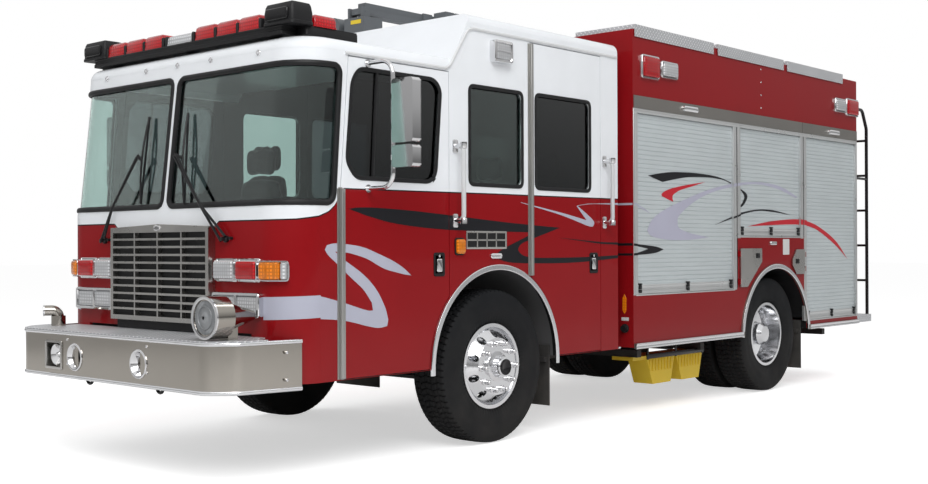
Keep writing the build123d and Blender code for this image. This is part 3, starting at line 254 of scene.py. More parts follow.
soften = bpy.data.node_groups.new("round_shading", "GeometryNodeTree")
soften.interface.new_socket("Geometry", in_out="INPUT", socket_type="NodeSocketGeometry")
soften.interface.new_socket("Geometry", in_out="OUTPUT", socket_type="NodeSocketGeometry")
entry = soften.nodes.new("NodeGroupInput").outputs[0]
merged = wire(soften, "GeometryNodeMergeByDistance", Geometry=entry, Distance=0.00002).outputs[0]
bend_angle = wire(soften, "GeometryNodeInputMeshEdgeAngle").outputs["Unsigned Angle"]
gentle = wire(soften, "FunctionNodeCompare", {"operation": "LESS_THAN"}, i0=bend_angle,
              i1=math.radians(32)).outputs[0]
faces_soft = wire(soften, "GeometryNodeSetShadeSmooth", {"domain": "FACE"}, Geometry=merged,
                  Shade_Smooth=True).outputs[0]
edges_soft = wire(soften, "GeometryNodeSetShadeSmooth", {"domain": "EDGE"}, Geometry=faces_soft,
                  Shade_Smooth=gentle).outputs[0]
soften.links.new(edges_soft, soften.nodes.new("NodeGroupOutput").inputs[0])


def dress(node, material):
    """Puts a finish on a frame node and shades its round faces smoothly."""
    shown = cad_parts[node]
    shown.data.materials.clear()
    shown.data.materials.append(material)
    shown.modifiers.new("round_shading", "NODES").node_group = soften


chassis_black = finish_of("chassis_black", (0.012, 0.012, 0.013), 0.35, 0.6, scale=70, depth=0.15, reach=0.9,
                          amount=0.3,
                          Specular_IOR_Level=0.3)
for node in ("chassis_frame", "front_suspension", "rear_suspension", "powertrain", "steering_knuckle_left",
             "steering_knuckle_right"):
    dress(node, chassis_black)

# ---- Wheels --------------------------------------------------------------------------------------
# Forged aluminium discs on hub-piloted hubs, polished bright, each held by ten nuts under long
# chrome covers. The steered wheels carry an oil-bath hub with a dark window.
front_low, front_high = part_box("front_tyre_left")
rear_low, rear_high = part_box("rear_tyres_left")
front_axle = (front_low.y + front_high.y) / 2
rear_axle = (rear_low.y + rear_high.y) / 2
axle_height = (front_low.z + front_high.z) / 2
wheel_middle = (front_low.x + front_high.x) / 2
dual_middle = (rear_low.x + rear_high.x) / 2
disc_face = 0.170            # front disc beyond the wheel's middle
dual_face = 0.022            # rear disc beyond the pair's middle
nut_circle = 0.1675          # radius of the circle that the nuts stand on
nut_count = 10


def build(name, body, material, shapes, sharp=35, bevel=0.0, closed=True, stands_for=()):
    """One object from (points, faces) shapes, riding on a body."""
    points, faces, start = [], [], 0
    for spots, rings in shapes:
        spots = np.asarray(spots, dtype=float).reshape(-1, 3)
        points.append(spots)
        faces += [[i + start for i in ring]
                  for ring in (rings.tolist() if isinstance(rings, np.ndarray) else rings)]
        start += len(spots)
    mesh = bpy.data.meshes.new(name)
    mesh.from_pydata(np.concatenate(points).tolist(), [], faces)
    if closed:
        work = bmesh.new()
        work.from_mesh(mesh)
        bmesh.ops.remove_doubles(work, verts=work.verts, dist=0.00002)
        bmesh.ops.recalc_face_normals(work, faces=work.faces)
        work.to_mesh(mesh)
        work.free()
    mesh.polygons.foreach_set("use_smooth", [True] * len(mesh.polygons))
    mesh.set_sharp_from_angle(angle=math.radians(sharp))
    mesh.materials.append(material)
    made = bpy.data.objects.new(name, mesh)
    scene.collection.objects.link(made)
    if bevel:
        rim = made.modifiers.new("bevel", "BEVEL")
        rim.width = bevel
        rim.segments = 2
        rim.limit_method = "ANGLE"
        rim.harden_normals = True
    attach(made, body)
    if stands_for:
        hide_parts(*stands_for)
    return made


def grid(surface, wrap_rows=False, wrap_columns=False):
    """Quads over an (n, m, 3) array of points, closed round either way if asked."""
    rows, columns = surface.shape[:2]
    index = np.arange(rows * columns).reshape(rows, columns)
    if wrap_rows:
        index = np.vstack([index, index[:1]])
    if wrap_columns:
        index = np.hstack([index, index[:, :1]])
    quads = np.stack([index[:-1, :-1], index[:-1, 1:], index[1:, 1:], index[1:, :-1]], axis=-1)
    return surface.reshape(-1, 3), quads.reshape(-1, 4)


def turned(profile, centre, axis="x", count=48, way=1):
    """Turned surface: each (radius, offset) point of a profile swept round an axis."""
    radius, offset = np.asarray(profile, dtype=float).T
    angle = np.linspace(0, 2 * np.pi, count, endpoint=False)[:, None]
    along = np.broadcast_to(way * offset, (count, len(radius)))
    across, up = radius * np.cos(angle), radius * np.sin(angle)
    order = {"x": (along, across, up), "y": (across, along, up), "z": (across, up, along)}[axis]
    return grid(np.stack(order, axis=-1) + np.asarray(centre, dtype=float), wrap_rows=True)


def dome(radius, rise):
    """Profile of a rounded end: a quarter ellipse from its rim to its pole."""
    return [(radius * math.cos(t), rise * math.sin(t)) for t in np.linspace(0, np.pi / 2, 6)]


polished_alloy = finish_of("polished_alloy", (0.74, 0.745, 0.76), 0.10, 0.20, scale=320, depth=0.03,
                           metallic=1.0)
chrome = finish_of("chrome", (0.74, 0.74, 0.75), 0.03, 0.07, scale=30, depth=0.012, metallic=1.0)
gloss_black = finish_of("gloss_black", (0.008, 0.008, 0.009), 0.12, 0.25, scale=50, depth=0.03,
                        Specular_IOR_Level=0.35)
for label, side in sides:
    for node in (f"front_wheel_{label}", f"rear_wheels_{label}"):
        dress(node, polished_alloy)
    turn = np.radians(360 / nut_count * np.arange(nut_count))
    for wheel, face, axle, reach in (("front_wheel", wheel_middle + disc_face, front_axle, 0.058),
                                     ("rear_wheels", dual_middle + dual_face, rear_axle, 0.052)):
        cover = [(0.024, 0.0005), (0.024, 0.006), (0.018, 0.012), (0.0175, reach - 0.016)]
        cover += [(r, reach - 0.016 + h) for r, h in dome(0.0165, 0.016)]
        spots = [(side * face, axle + nut_circle * math.cos(a), axle_height + nut_circle * math.sin(a))
                 for a in turn]
        build(f"{wheel}_nut_covers_{label}", f"{wheel}_{label}", chrome,
              [turned(cover, spot, count=16, way=side) for spot in spots])
    window = [(0.0, 0.0), (0.056, 0.0), (0.056, 0.007), (0.050, 0.0115), (0.040, 0.0115), (0.034, 0.0075),
              (0.0, 0.0075)]
    hub_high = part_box(f"front_wheel_{label}")[1 if side > 0 else 0].x
    build(f"front_wheel_hub_window_{label}", f"front_wheel_{label}", gloss_black,
          [turned(window, (hub_high - side * 0.0010, front_axle, axle_height), way=side)])
    valve = [(0.004, 0.0), (0.004, 0.045), (0.006, 0.046), (0.006, 0.058), (0.0, 0.060)]
    build(f"front_wheel_valve_{label}", f"front_wheel_{label}", chrome,
          [turned(valve, (side * (wheel_middle + 0.085), front_axle + 0.222, axle_height + 0.060), count=12,
                  way=side)])

# ---- Tyres ---------------------------------------------------------------------------------------
# Radial truck tyres in black rubber: a crown of five rows of blocks parted by grooves, square
# shoulders, and plain sidewalls with raised rings.
tyre_wide = front_high.x - front_low.x
tyre_radius = (front_high.z - front_low.z) / 2
block_rows = 75
groove_depth = 0.013
drawn_radius = 0.5375        # tyre radius that the sidewall's points are drawn for
crown_half = 0.86            # share of the half width that the crown takes
rib_start, rib_wide = 0.9, 0.36
rubber, rubber_tree, rubber_sockets = bare("tyre_rubber", Specular_IOR_Level=0.16)
tint = grained(rubber_tree, rubber_sockets, 90, 0.62, 0.86, 0.2)
tinted(rubber_tree, rubber_sockets, (0.0085, 0.0095, 0.0115), tint, 1.3, 0.10)


def tyre(x, y, half, radius):
    """Tyre: sidewall and shoulder points turned once round, the crown sunk by its groove pattern.

    Five ribs are parted by four ring grooves. A block row's cross grooves lean one way on each rib
    and start half a block later on the next, so that the blocks lie like bricks.
    """
    side_r = np.array([0.292, 0.300, 0.306, 0.318, 0.345, 0.380, 0.384, 0.420, 0.455, 0.460, 0.488, 0.508,
                       0.521])
    side_x = np.array([0.700, 0.745, 0.770, 0.860, 0.940, 0.975, 0.985, 0.997, 0.994, 1.000, 0.978, 0.955,
                       0.925])
    side_r = side_r * radius / drawn_radius
    crown_x = np.linspace(-crown_half, crown_half, 26)
    crown_r = radius - 0.006 * (crown_x / crown_half) ** 4
    offset = np.concatenate([-side_x, crown_x, side_x[::-1]]) * half
    reach = np.concatenate([side_r, crown_r, side_r[::-1]])
    turn = np.linspace(0, 2 * np.pi, block_rows * 6, endpoint=False)[:, None]
    rib = np.floor((offset / half + rib_start) / rib_wide)
    in_rib = (offset / half + rib_start) / rib_wide - rib
    ring_groove = np.minimum(in_rib, 1 - in_rib) < 0.10
    step = np.mod(turn * block_rows / (2 * np.pi) + 0.5 * np.mod(rib, 2) + 0.35 * in_rib
                  * np.where(np.mod(rib, 2) > 0, 1, -1), 1)
    crown = np.abs(offset / half) < 0.87
    sunk = np.where(ring_groove | (step < 0.17), groove_depth, 0.0) * crown
    round_r = reach - sunk
    points = np.stack([np.broadcast_to(x + offset, round_r.shape), y + round_r * np.cos(turn),
                       axle_height + round_r * np.sin(turn)], axis=-1)
    return grid(points, wrap_rows=True)


for label, side in sides:
    build(f"front_tyre_tread_{label}", f"front_wheel_{label}", rubber,
          [tyre(side * wheel_middle, front_axle, tyre_wide / 2, tyre_radius)], sharp=28, closed=False,
          stands_for=(f"front_tyre_{label}",))
    places = [rear_low.x + tyre_wide / 2, rear_high.x - tyre_wide / 2]
    build(f"rear_tyre_treads_{label}", f"rear_wheels_{label}", rubber,
          [tyre(side * spot, rear_axle, tyre_wide / 2, tyre_radius) for spot in places], sharp=28, closed=False,
          stands_for=(f"rear_tyres_{label}",))

# ---- Front bumper, deck, horns, siren and hooks --------------------------------------------------
# A deep channel of polished stainless plate with rolled edges carries a tread-plate deck. Air horns
# and a speaker sound through it; the siren, in its chrome rim, and a discharge elbow stand on the deck.
bumper_low, bumper_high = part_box("front_bumper")
bumper_face = bumper_low.y
bumper_end = bumper_high.x
flat_end = 1.010              # the straight face ends here
corner_bend = 0.130           # plan radius of the two bends at each end
horn_x, horn_z = 0.362, 0.672
set_back = 0.009              # how far the plate lies behind its rolled edges
bead_radius, bead_inset, bead_drop = 0.0134, 0.0136, 0.0125
mirror_steel = finish_of("mirror_steel", (0.37, 0.345, 0.31), 0.05, 0.12, scale=9, depth=0.05, metallic=1.0,
                         reach=0.9,
                         amount=0.10)
dress("bumper_fittings", mirror_steel)


# Tread plate: lozenges raised on a checkered set of cells, lying one way on one colour of cell and
# across it on the other. The two coordinates are the ones that lie in the face.
tread_group, given, gives = group("tread_plate_pattern", [("Scale", number, 30.0)], [("Height", number)])
spot = wire(tread_group, "ShaderNodeSeparateXYZ", Vector=place_in(tread_group)).outputs
facing = wire(tread_group, "ShaderNodeSeparateXYZ",
              Vector=wire(tread_group, "ShaderNodeNewGeometry").outputs["True Normal"]).outputs
flat = calc(tread_group, "GREATER_THAN", calc(tread_group, "ABSOLUTE", facing["Z"]), 0.6)
sideways = calc(tread_group, "GREATER_THAN", calc(tread_group, "ABSOLUTE", facing["X"]), 0.6)
first = calc(tread_group, "ADD", calc(tread_group, "MULTIPLY", spot["Y"], sideways),
             calc(tread_group, "MULTIPLY", spot["X"], calc(tread_group, "SUBTRACT", 1.0, sideways)))
second = calc(tread_group, "ADD", calc(tread_group, "MULTIPLY", spot["Y"], flat),
              calc(tread_group, "MULTIPLY", spot["Z"], calc(tread_group, "SUBTRACT", 1.0, flat)))
run_u = calc(tread_group, "MULTIPLY", calc(tread_group, "ADD", first, second), given["Scale"])
run_v = calc(tread_group, "MULTIPLY", calc(tread_group, "SUBTRACT", first, second), given["Scale"])
cell_u, cell_v = calc(tread_group, "FLOOR", run_u), calc(tread_group, "FLOOR", run_v)
odd = calc(tread_group, "FLOORED_MODULO", calc(tread_group, "ADD", cell_u, cell_v), 2.0)
local_u = calc(tread_group, "SUBTRACT", calc(tread_group, "SUBTRACT", run_u, cell_u), 0.5)
local_v = calc(tread_group, "SUBTRACT", calc(tread_group, "SUBTRACT", run_v, cell_v), 0.5)
long_scale, short_scale = 2.3, 7.0
grow_u = calc(tread_group, "ADD", calc(tread_group, "MULTIPLY", odd, short_scale - long_scale), long_scale)
grow_v = calc(tread_group, "SUBTRACT", short_scale + long_scale, grow_u)
reach_u, reach_v = calc(tread_group, "MULTIPLY", local_u, grow_u), calc(tread_group, "MULTIPLY", local_v,
                                                                        grow_v)
far = calc(tread_group, "ADD", calc(tread_group, "POWER", calc(tread_group, "ABSOLUTE", reach_u), 2.0),
           calc(tread_group, "POWER", calc(tread_group, "ABSOLUTE", reach_v), 2.0))
tread_group.links.new(remap(tread_group, far, 0.5, 1.1, 1.0, 0.0), gives["Height"])
tread_plate, tread_tree, tread_shader = bare("tread_plate", 0.55)
lozenges = tread_tree.nodes.new("ShaderNodeGroup")
lozenges.node_tree = tread_group
lozenges.inputs["Scale"].default_value = 24
tint = grained(tread_tree, tread_shader, 200, 0.34, 0.48, 0.05)
raised = mix(tread_tree, lozenges.outputs["Height"], (0.55, 0.56, 0.58, 1), (0.90, 0.90, 0.91, 1))
tinted(tread_tree, tread_shader, raised, tint)
bump = wire(tread_tree, "ShaderNodeBump", Strength=0.8, Distance=0.0025,
            Height=lozenges.outputs["Height"]).outputs[0]
tread_tree.links.new(bump, tread_shader["Normal"])
dress("bumper_deck", tread_plate)


def rounded(points, radius, steps=5):
    """Path with its corners rounded: a quadratic curve from one radius before to one after each."""
    points = np.asarray(points, dtype=float)
    before, at, after = points[:-2], points[1:-1], points[2:]
    start = at + (before - at) * (radius / np.linalg.norm(before - at, axis=1))[:, None]
    stop = at + (after - at) * (radius / np.linalg.norm(after - at, axis=1))[:, None]
    t = np.linspace(0, 1, steps)[None, :, None]
    curve = (1 - t) ** 2 * start[:, None] + 2 * t * (1 - t) * at[:, None] + t ** 2 * stop[:, None]
    return np.concatenate([points[:1], curve.reshape(-1, 3), points[-1:]])


def capped(points, faces, count):
    """Rings of quads whose first and last rings, of count points, are filled."""
    return points, faces.tolist() + [list(range(count)), list(range(len(points) - count, len(points)))]


def prism(points):
    """Solid between two equal outlines, given one after the other."""
    n = len(points) // 2
    walls = [[k, (k + 1) % n, n + (k + 1) % n, n + k] for k in range(n)]
    return points, [list(range(n)), list(range(n, 2 * n))] + walls


def swept(path, profile, closed_path=False, up=(0, 0, 1)):
    """Profile (side, up) points carried along a path, square to it, with its two ends filled."""
    path = np.asarray(path, dtype=float)
    ahead = np.roll(path, -1, 0) - np.roll(path, 1, 0)
    if not closed_path:
        ahead[0], ahead[-1] = path[1] - path[0], path[-1] - path[-2]
    ahead /= np.linalg.norm(ahead, axis=1)[:, None]
    across = np.cross(ahead, np.asarray(up, dtype=float))
    across /= np.linalg.norm(across, axis=1)[:, None]
    rise = np.cross(across, ahead)
    side, lift = np.asarray(profile, dtype=float).T
    points = path[:, None] + across[:, None] * side[None, :, None] + rise[:, None] * lift[None, :, None]
    points, faces = grid(points, wrap_rows=closed_path, wrap_columns=True)
    return (points, faces) if closed_path else capped(points, faces, len(side))


def ring(radius, count=12):
    """Round profile for swept()."""
    turn = np.linspace(0, 2 * np.pi, count, endpoint=False)
    return np.stack([radius * np.cos(turn), radius * np.sin(turn)], axis=-1)


def filleted(corners, radius, steps=14):
    """Plan line with arcs for corners, as points and their inward normals.

    An arc leaves its two straight sides radius * tan(half the turn) from the corner, and its centre
    lies on the inner side; normals on the arc point at the centre.
    """
    corners = np.asarray(corners, dtype=float)
    ways = np.diff(corners, axis=0)
    ways /= np.linalg.norm(ways, axis=1)[:, None]
    inward = np.stack([ways[:, 1], -ways[:, 0]], axis=-1)
    spots, normals = [corners[0]], [inward[0]]
    for corner, before, after, first, last in zip(corners[1:-1], ways[:-1], ways[1:], inward[:-1], inward[1:]):
        turn = math.acos(float(np.dot(before, after)))
        centre = corner - before * radius * math.tan(turn / 2) + first * radius
        share = np.linspace(0, 1, steps)[:, None]
        aim = (np.sin((1 - share) * turn) * first + np.sin(share * turn) * last) / math.sin(turn)
        spots += list(centre - aim * radius)
        normals += list(aim)
    return np.array(spots + [corners[-1]]), np.array(normals + [inward[-1]])


half_plan = [(bumper_end, bumper_high.y), (bumper_end - 0.080, bumper_face + 0.140), (flat_end, bumper_face)]
plan_line, plan_inward = filleted(half_plan + [(-x, y) for x, y in half_plan[::-1]], corner_bend)
run = np.concatenate([[0.0], np.cumsum(np.linalg.norm(np.diff(plan_line, axis=0), axis=1))])
fine = np.arange(0, run[-1], 0.003)
line_x, line_y, inward_x, inward_y = (np.interp(fine, run, row) for row in (*plan_line.T, *plan_inward.T))
cad_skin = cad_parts["front_bumper"].data
skin = np.array([vertex.co for vertex in cad_skin.vertices], dtype=float)
nearest = np.argmin(np.hypot(skin[:, :1] - line_x, skin[:, 1:2] - line_y), axis=1)
depth = (skin[:, 0] - line_x[nearest]) * inward_x[nearest] + (skin[:, 1] - line_y[nearest]) * inward_y[nearest]
outer = (np.abs(depth) < 0.003) * set_back
skin[:, 0] += inward_x[nearest] * outer
skin[:, 1] += inward_y[nearest] * outer
build("bumper_skin", "chassis", mirror_steel,
      [(skin, [list(face.vertices) for face in cad_skin.polygons])], sharp=25, stands_for=("front_bumper",))
for name, edge in (("top", bumper_high.z - bead_drop), ("bottom", bumper_low.z + bead_drop)):
    bead_line = plan_line + plan_inward * bead_inset
    build(f"bumper_{name}_bead", "chassis", polished_alloy,
          [swept(np.column_stack([bead_line, np.full(len(bead_line), edge)]), ring(bead_radius, 16))])
bell = [(0.090, 0.0100), (0.090, 0.004), (0.087, 0.001), (0.082, 0.0004), (0.077, 0.002), (0.070, 0.014),
        (0.058, 0.038), (0.044, 0.070), (0.030, 0.105), (0.020, 0.150), (0.0, 0.150)]
bell_back = [(0.090, 0.0100), (0.079, 0.0102), (0.073, 0.018), (0.062, 0.040), (0.048, 0.072), (0.034, 0.107),
             (0.024, 0.154),
             (0.0, 0.154)]
build("air_horn_bells", "chassis", chrome,
      [turned(bell[::-1] + bell_back[1:], (x, bumper_face + 0.0002, horn_z), "y", 56)
       for x in (-horn_x, horn_x)])
bolt = [(0.0095, 0.012), (0.0095, 0.0), (0.009, -0.003), (0.006, -0.0055), (0.0, -0.0065)]
build("bumper_bolts", "chassis", chrome,
      [turned(bolt, (s * (bumper_end - 0.0105), bumper_face + 0.44, z), "x", 14, -s) for s in (-1, 1)
       for z in (0.60, 0.76)]
      + [turned(bolt, (s * 0.450, bumper_face + 0.0070, z), "y", 14) for s in (-1, 1) for z in (0.625, 0.782)])


def stacked(width, height, corner, stack, place, arc=4, open_ring=False, runs=1):
    """Rounded rectangles piled up: each (inset, level) of the stack shrinks the outline by its inset.

    The outline goes round its four corners in quarter circles of (corner - inset), with its straight
    sides cut into runs; place() puts the points (across, up, level) where they belong.
    """
    turn = np.linspace(0, np.pi / 2, arc)
    angle = np.concatenate([turn + k * np.pi / 2 for k in range(4)])
    sign_x = np.repeat([1, -1, -1, 1], arc)
    sign_y = np.repeat([1, 1, -1, -1], arc)
    inset, level = np.asarray(stack, dtype=float).T
    bend = np.maximum(corner - inset, 0.0004)[:, None]
    across = sign_x * (width / 2 - inset[:, None] - bend) + bend * np.cos(angle)
    rise = sign_y * (height / 2 - inset[:, None] - bend) + bend * np.sin(angle)
    spread = np.arange(len(angle) * runs) / runs
    low = spread.astype(int)
    keep = (spread == low) | (np.mod(low, arc) == arc - 1)
    low, share = low[keep], (spread - low)[keep]
    high = (low + 1) % len(angle)
    across = across[:, low] * (1 - share) + across[:, high] * share
    rise = rise[:, low] * (1 - share) + rise[:, high] * share
    x, y, z = place(across, rise, np.broadcast_to(level[:, None], across.shape))
    points, faces = grid(np.stack([x, y, z], axis=-1), wrap_rows=open_ring, wrap_columns=True)
    return (points, faces) if open_ring else capped(points, faces, len(low))


def ahead_of(x, y, z, turn=0.0):
    """Placer for pieces whose face looks forward from (x, y, z), turned in that face."""
    c, s = math.cos(turn), math.sin(turn)
    return lambda a, b, n: (x + a * c - b * s, y - n, z + a * s + b * c)


def beside(side, x, y, z):
    """Placer for pieces whose face looks outward on one side."""
    return lambda a, b, n: (side * (x + n), y + a, z + b)


def above(x, y, z):
    """Placer for pieces whose face looks up."""
    return lambda a, b, n: (x + a, y + b, z + n)


def frame_ring(depth, wide):
    """Stack for a bezel: up outside, over a small round, in, and down inside."""
    r = min(0.003, wide / 3)
    return [(0, 0), (0, depth - r), (r * 0.3, depth - r * 0.3), (r, depth), (wide - r, depth),
            (wide, depth - r), (wide, 0)]


def lid_stack(depth, crown=0.0, edge=0.003):
    """Stack for a solid with a rounded and slightly crowned face."""
    return [(0, 0), (0, depth - edge), (edge * 0.3, depth - edge * 0.3), (edge, depth),
            (edge * 4, depth + crown * 0.55),
            (edge * 9, depth + crown)] if crown else [(0, 0), (0, depth - edge),
                                                      (edge * 0.3, depth - edge * 0.3), (edge, depth)]


black_plastic = finish_of("black_plastic", (0.010, 0.010, 0.011), 0.42, 0.6, scale=350, depth=0.3,
                          Specular_IOR_Level=0.25)
satin_steel = finish_of("satin_steel", (0.50, 0.49, 0.47), 0.22, 0.36, scale=180, depth=0.06, metallic=1.0)
speaker_x, speaker_z = -0.620, 0.675
build("speaker_frame", "chassis", satin_steel,
      [stacked(0.207, 0.189, 0.010, frame_ring(0.010, 0.016),
               ahead_of(speaker_x, bumper_face + 0.0102, speaker_z),
               open_ring=True),
       stacked(0.200, 0.182, 0.008,
               [(0.08, -0.078), (0.003, -0.075), (0.003, 0), (0, 0), (0, -0.080), (0.08, -0.082)],
               ahead_of(speaker_x, bumper_face + 0.006, speaker_z))])
speaker_horn = [(0.0, -0.024), (0.012, -0.022), (0.020, -0.004), (0.030, 0.004), (0.042, -0.004),
                (0.056, -0.020),
                (0.068, -0.028), (0.071, -0.026), (0.056, -0.006), (0.044, 0.020), (0.0, 0.028)]
build("speaker_horn", "chassis", chrome,
      [turned(speaker_horn, (speaker_x, bumper_face + 0.052, speaker_z), "y", 40)])
siren_x, siren_z, siren_face = 0.988, 0.972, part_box("bumper_fittings")[0].y
siren_grey = finish_of("siren_grey", (0.30, 0.31, 0.32), 0.35, 0.5, scale=260, depth=0.3, metallic=0.6)
face_profile = [(0.0, -0.010), (0.018, -0.010), (0.026, -0.006), (0.032, 0.000), (0.036, 0.002), (0.060, 0.003),
                (0.062, -0.003), (0.068, -0.003), (0.070, 0.003), (0.098, 0.004), (0.100, 0.007), (0.0, 0.012)]
siren_front = siren_face - 0.0040
build("siren_face", "chassis", siren_grey,
      [turned(face_profile, (siren_x, siren_front - 0.0005, siren_z), "y", 64)])
louvre = [stacked(0.006, 0.028, 0.0025, [(0, 0), (0, 0.0030), (0.001, 0.0042)],
                  ahead_of(siren_x + 0.084 * math.cos(t), siren_front + 0.004, siren_z + 0.084 * math.sin(t),
                           t - math.pi / 2))
          for t in np.radians(np.arange(0, 360, 9))]
build("siren_louvres", "chassis", siren_grey, louvre)
rim_profile = [(0.1249, 0.0), (0.1249, 0.010), (0.1225, 0.0105), (0.108, 0.0100), (0.105, 0.004),
               (0.106, 0.0005), (0.112, -0.0005)]
build("siren_rim", "chassis", chrome,
      [turned(rim_profile + rim_profile[:1], (siren_x, siren_face - 0.0095, siren_z), "y", 64)])
hub_profile = [(0.020, 0.004), (0.020, -0.006), (0.016, -0.010), (0.010, -0.0105), (0.0, -0.0105)]
build("siren_hub", "chassis", chrome,
      [turned(hub_profile, (siren_x, siren_front, siren_z), "y", 24)])
build("deck_apron", "chassis", tread_plate,
      [stacked(2.06, 0.116, 0.004, [(0.0, -0.006), (0.0, 0.0), (0.0005, 0.0008)],
               above(0.0, -3.9055, bumper_high.z + 0.0045))])
elbow_end, elbow_way = np.array([-1.031, -4.1225, 0.944]), np.array([-0.468, -0.884, 0.0])
build("elbow_lip", "chassis", chrome,
      [swept([elbow_end - elbow_way * 0.004, elbow_end + elbow_way * 0.004], ring(0.0385, 24))])
build("elbow_mouth", "chassis", black_plastic,
      [swept([elbow_end, elbow_end + elbow_way * 0.0045], ring(0.031, 24))])
hook_path = [(0.034, 0.0), (0.034, -0.030), (0.024, -0.056), (0.0, -0.064), (-0.024, -0.056), (-0.034, -0.030),
             (-0.034, 0.0)]
build("tow_eyes", "chassis", gloss_black,
      [swept(rounded([(x + a, -4.150, 0.552 + b) for a, b in hook_path], 0.008, 3), ring(0.0105), up=(0, 1, 0))
       for x in (-0.396, 0.396)])

# ---- Cab shell and doors -------------------------------------------------------------------------
# Welded aluminium cab, red below and white above, with a black pinline where the colours meet.
# The line runs level across the front, climbs round the corner and runs nearly level to the back.
cab_side, nose, corner_radius = 1.240, -3.8475, 0.250
flat_half = cab_side - corner_radius             # half the width of the flat front, between the corners
body_side, body_front, body_rear = 1.270, -0.3075, 3.9295
cab_rear = -0.4795
low_roof = 2.650
belt_z = 1.6                 # the front leans back above this height
nose_lean = math.tan(math.radians(6.5))
lining_lean = 0.114          # the same lean, in the shader
skin_depth = 0.021           # faces farther inside the outline than this are the lining
front_arch, rear_arch = (-1.9495, 0.559), (2.1095, 0.520)     # middles of the wheel arches
line_start, line_stop, line_low, line_high = -3.95, -0.45, 1.50, 1.80
line_half = 0.0042           # half the width of the black pinline
colour_line = [(-3.95, 1.532), (-3.742, 1.541), (-3.606, 1.560), (-3.530, 1.588), (-3.486, 1.622),
               (-3.464, 1.649),
               (-3.428, 1.722), (-3.405, 1.731), (-2.830, 1.735), (-1.962, 1.742), (-1.210, 1.744),
               (-0.45, 1.748)]
red, pale_white = (0.272, 0.005, 0.008), (0.85, 0.875, 0.905)
line_black, liner_black = (0.012, 0.012, 0.014, 1), (0.014, 0.014, 0.015, 1)
lining_grey, bare_steel = (0.045, 0.047, 0.05, 1), (0.46, 0.455, 0.44, 1)


def paint(name, color_of, steel_from=9.0):
    """Gloss paint under a clear coat, whose colour is color_of(tree, place).

    Metal that stands farther out than steel_from, such as hinge leaves, is bare steel.
    """
    material, tree, shader = bare(name, 0.0, Coat_Weight=0.35, Coat_Roughness=0.04, IOR=1.5,
                                  Specular_IOR_Level=0.05)
    place = wire(tree, "ShaderNodeSeparateXYZ", Vector=place_in(tree)).outputs
    tint = grained(tree, shader, 420, 0.30, 0.38, 0.015)
    proud = calc(tree, "GREATER_THAN", calc(tree, "ABSOLUTE", place["X"]), steel_from)
    tree.links.new(proud, shader["Metallic"])
    tinted(tree, shader, mix(tree, proud, color_of(tree, place), bare_steel), tint, 1.1, 0.05)
    return material


def length_of(tree, first, second):
    """Length of the hypotenuse over two sockets."""
    squares = [calc(tree, "MULTIPLY", side, side) for side in (first, second)]
    return calc(tree, "SQRT", calc(tree, "ADD", *squares))


def arched(tree, place, base, centre, radius, wide):
    """Black liner where the surface lies under a wheel arch, inside the body's sides."""
    away = length_of(tree, calc(tree, "SUBTRACT", place["Y"], centre[0]),
                     calc(tree, "SUBTRACT", place["Z"], centre[1]))
    under = calc(tree, "MULTIPLY", calc(tree, "LESS_THAN", away, radius),
                 calc(tree, "LESS_THAN", calc(tree, "ABSOLUTE", place["X"]), wide))
    return mix(tree, under, base, liner_black)


def two_tone(tree, place):
    """Red under the colour line and white over it; the line's height is a curve of the place along the cab.

    On the front the line dips toward the middle. Faces deep inside the cab's outline are its grey
    lining, and those under a wheel arch are its black liner.
    """
    along = remap(tree, place["Y"], line_start, line_stop)
    stops = [((y - line_start) / (line_stop - line_start), (z - line_low) / (line_high - line_low))
             for y, z in colour_line]
    share = ramp(tree, along, stops)
    border = remap(tree, share, to_low=line_low, to_high=line_high)
    inward = remap(tree, calc(tree, "ABSOLUTE", place["X"]), 0.59, 0.535, 0.0, 0.03,
                   interpolation_type="SMOOTHSTEP")
    on_front = calc(tree, "LESS_THAN", place["Y"], nose + 0.06)
    border = calc(tree, "SUBTRACT", border, calc(tree, "MULTIPLY", inward, on_front))
    over = calc(tree, "SUBTRACT", place["Z"], border)
    upper = calc(tree, "GREATER_THAN", over, 0.0)
    line = calc(tree, "LESS_THAN", calc(tree, "ABSOLUTE", over), line_half)
    lined = mix(tree, line, mix(tree, upper, (*red, 1), (*pale_white, 1)), line_black)
    above_belt = calc(tree, "MAXIMUM", calc(tree, "SUBTRACT", place["Z"], belt_z), 0.0)
    lean = calc(tree, "MULTIPLY", above_belt, lining_lean)
    deep = calc(tree, "MAXIMUM",
                calc(tree, "SUBTRACT", nose + corner_radius, calc(tree, "SUBTRACT", place["Y"], lean)), 0.0)
    wide = calc(tree, "MAXIMUM",
                calc(tree, "SUBTRACT", calc(tree, "ABSOLUTE", place["X"]), flat_half), 0.0)
    top = remap(tree, place["Y"], -2.30, -2.15, 2.545, 2.88)
    within = calc(tree, "MULTIPLY",
                  calc(tree, "LESS_THAN", length_of(tree, deep, wide), corner_radius - skin_depth),
                  calc(tree, "MULTIPLY", calc(tree, "LESS_THAN", place["Z"], top),
                       calc(tree, "LESS_THAN", place["Y"], cab_rear - 0.012)))
    return arched(tree, place, mix(tree, within, lined, lining_grey), front_arch, 0.700, cab_side - 0.004)


def plain_red(tree, place):
    """Red all over, a shade deeper low down, with a black wheel arch."""
    base = mix(tree, remap(tree, place["Z"], 0.5, 3.0), (red[0] * 0.96, red[1], red[2], 1), (*red, 1))
    return arched(tree, place, base, rear_arch, 0.652, body_side - 0.004)


cab_paint = paint("cab_paint", two_tone, steel_from=cab_side + 0.0006)
red_paint = paint("red_paint", plain_red)
door_nodes = [f"{door}_{label}" for door in ("front_door", "crew_door") for label, _ in sides]
for node in ["cab_shell"] + door_nodes:
    dress(node, cab_paint)

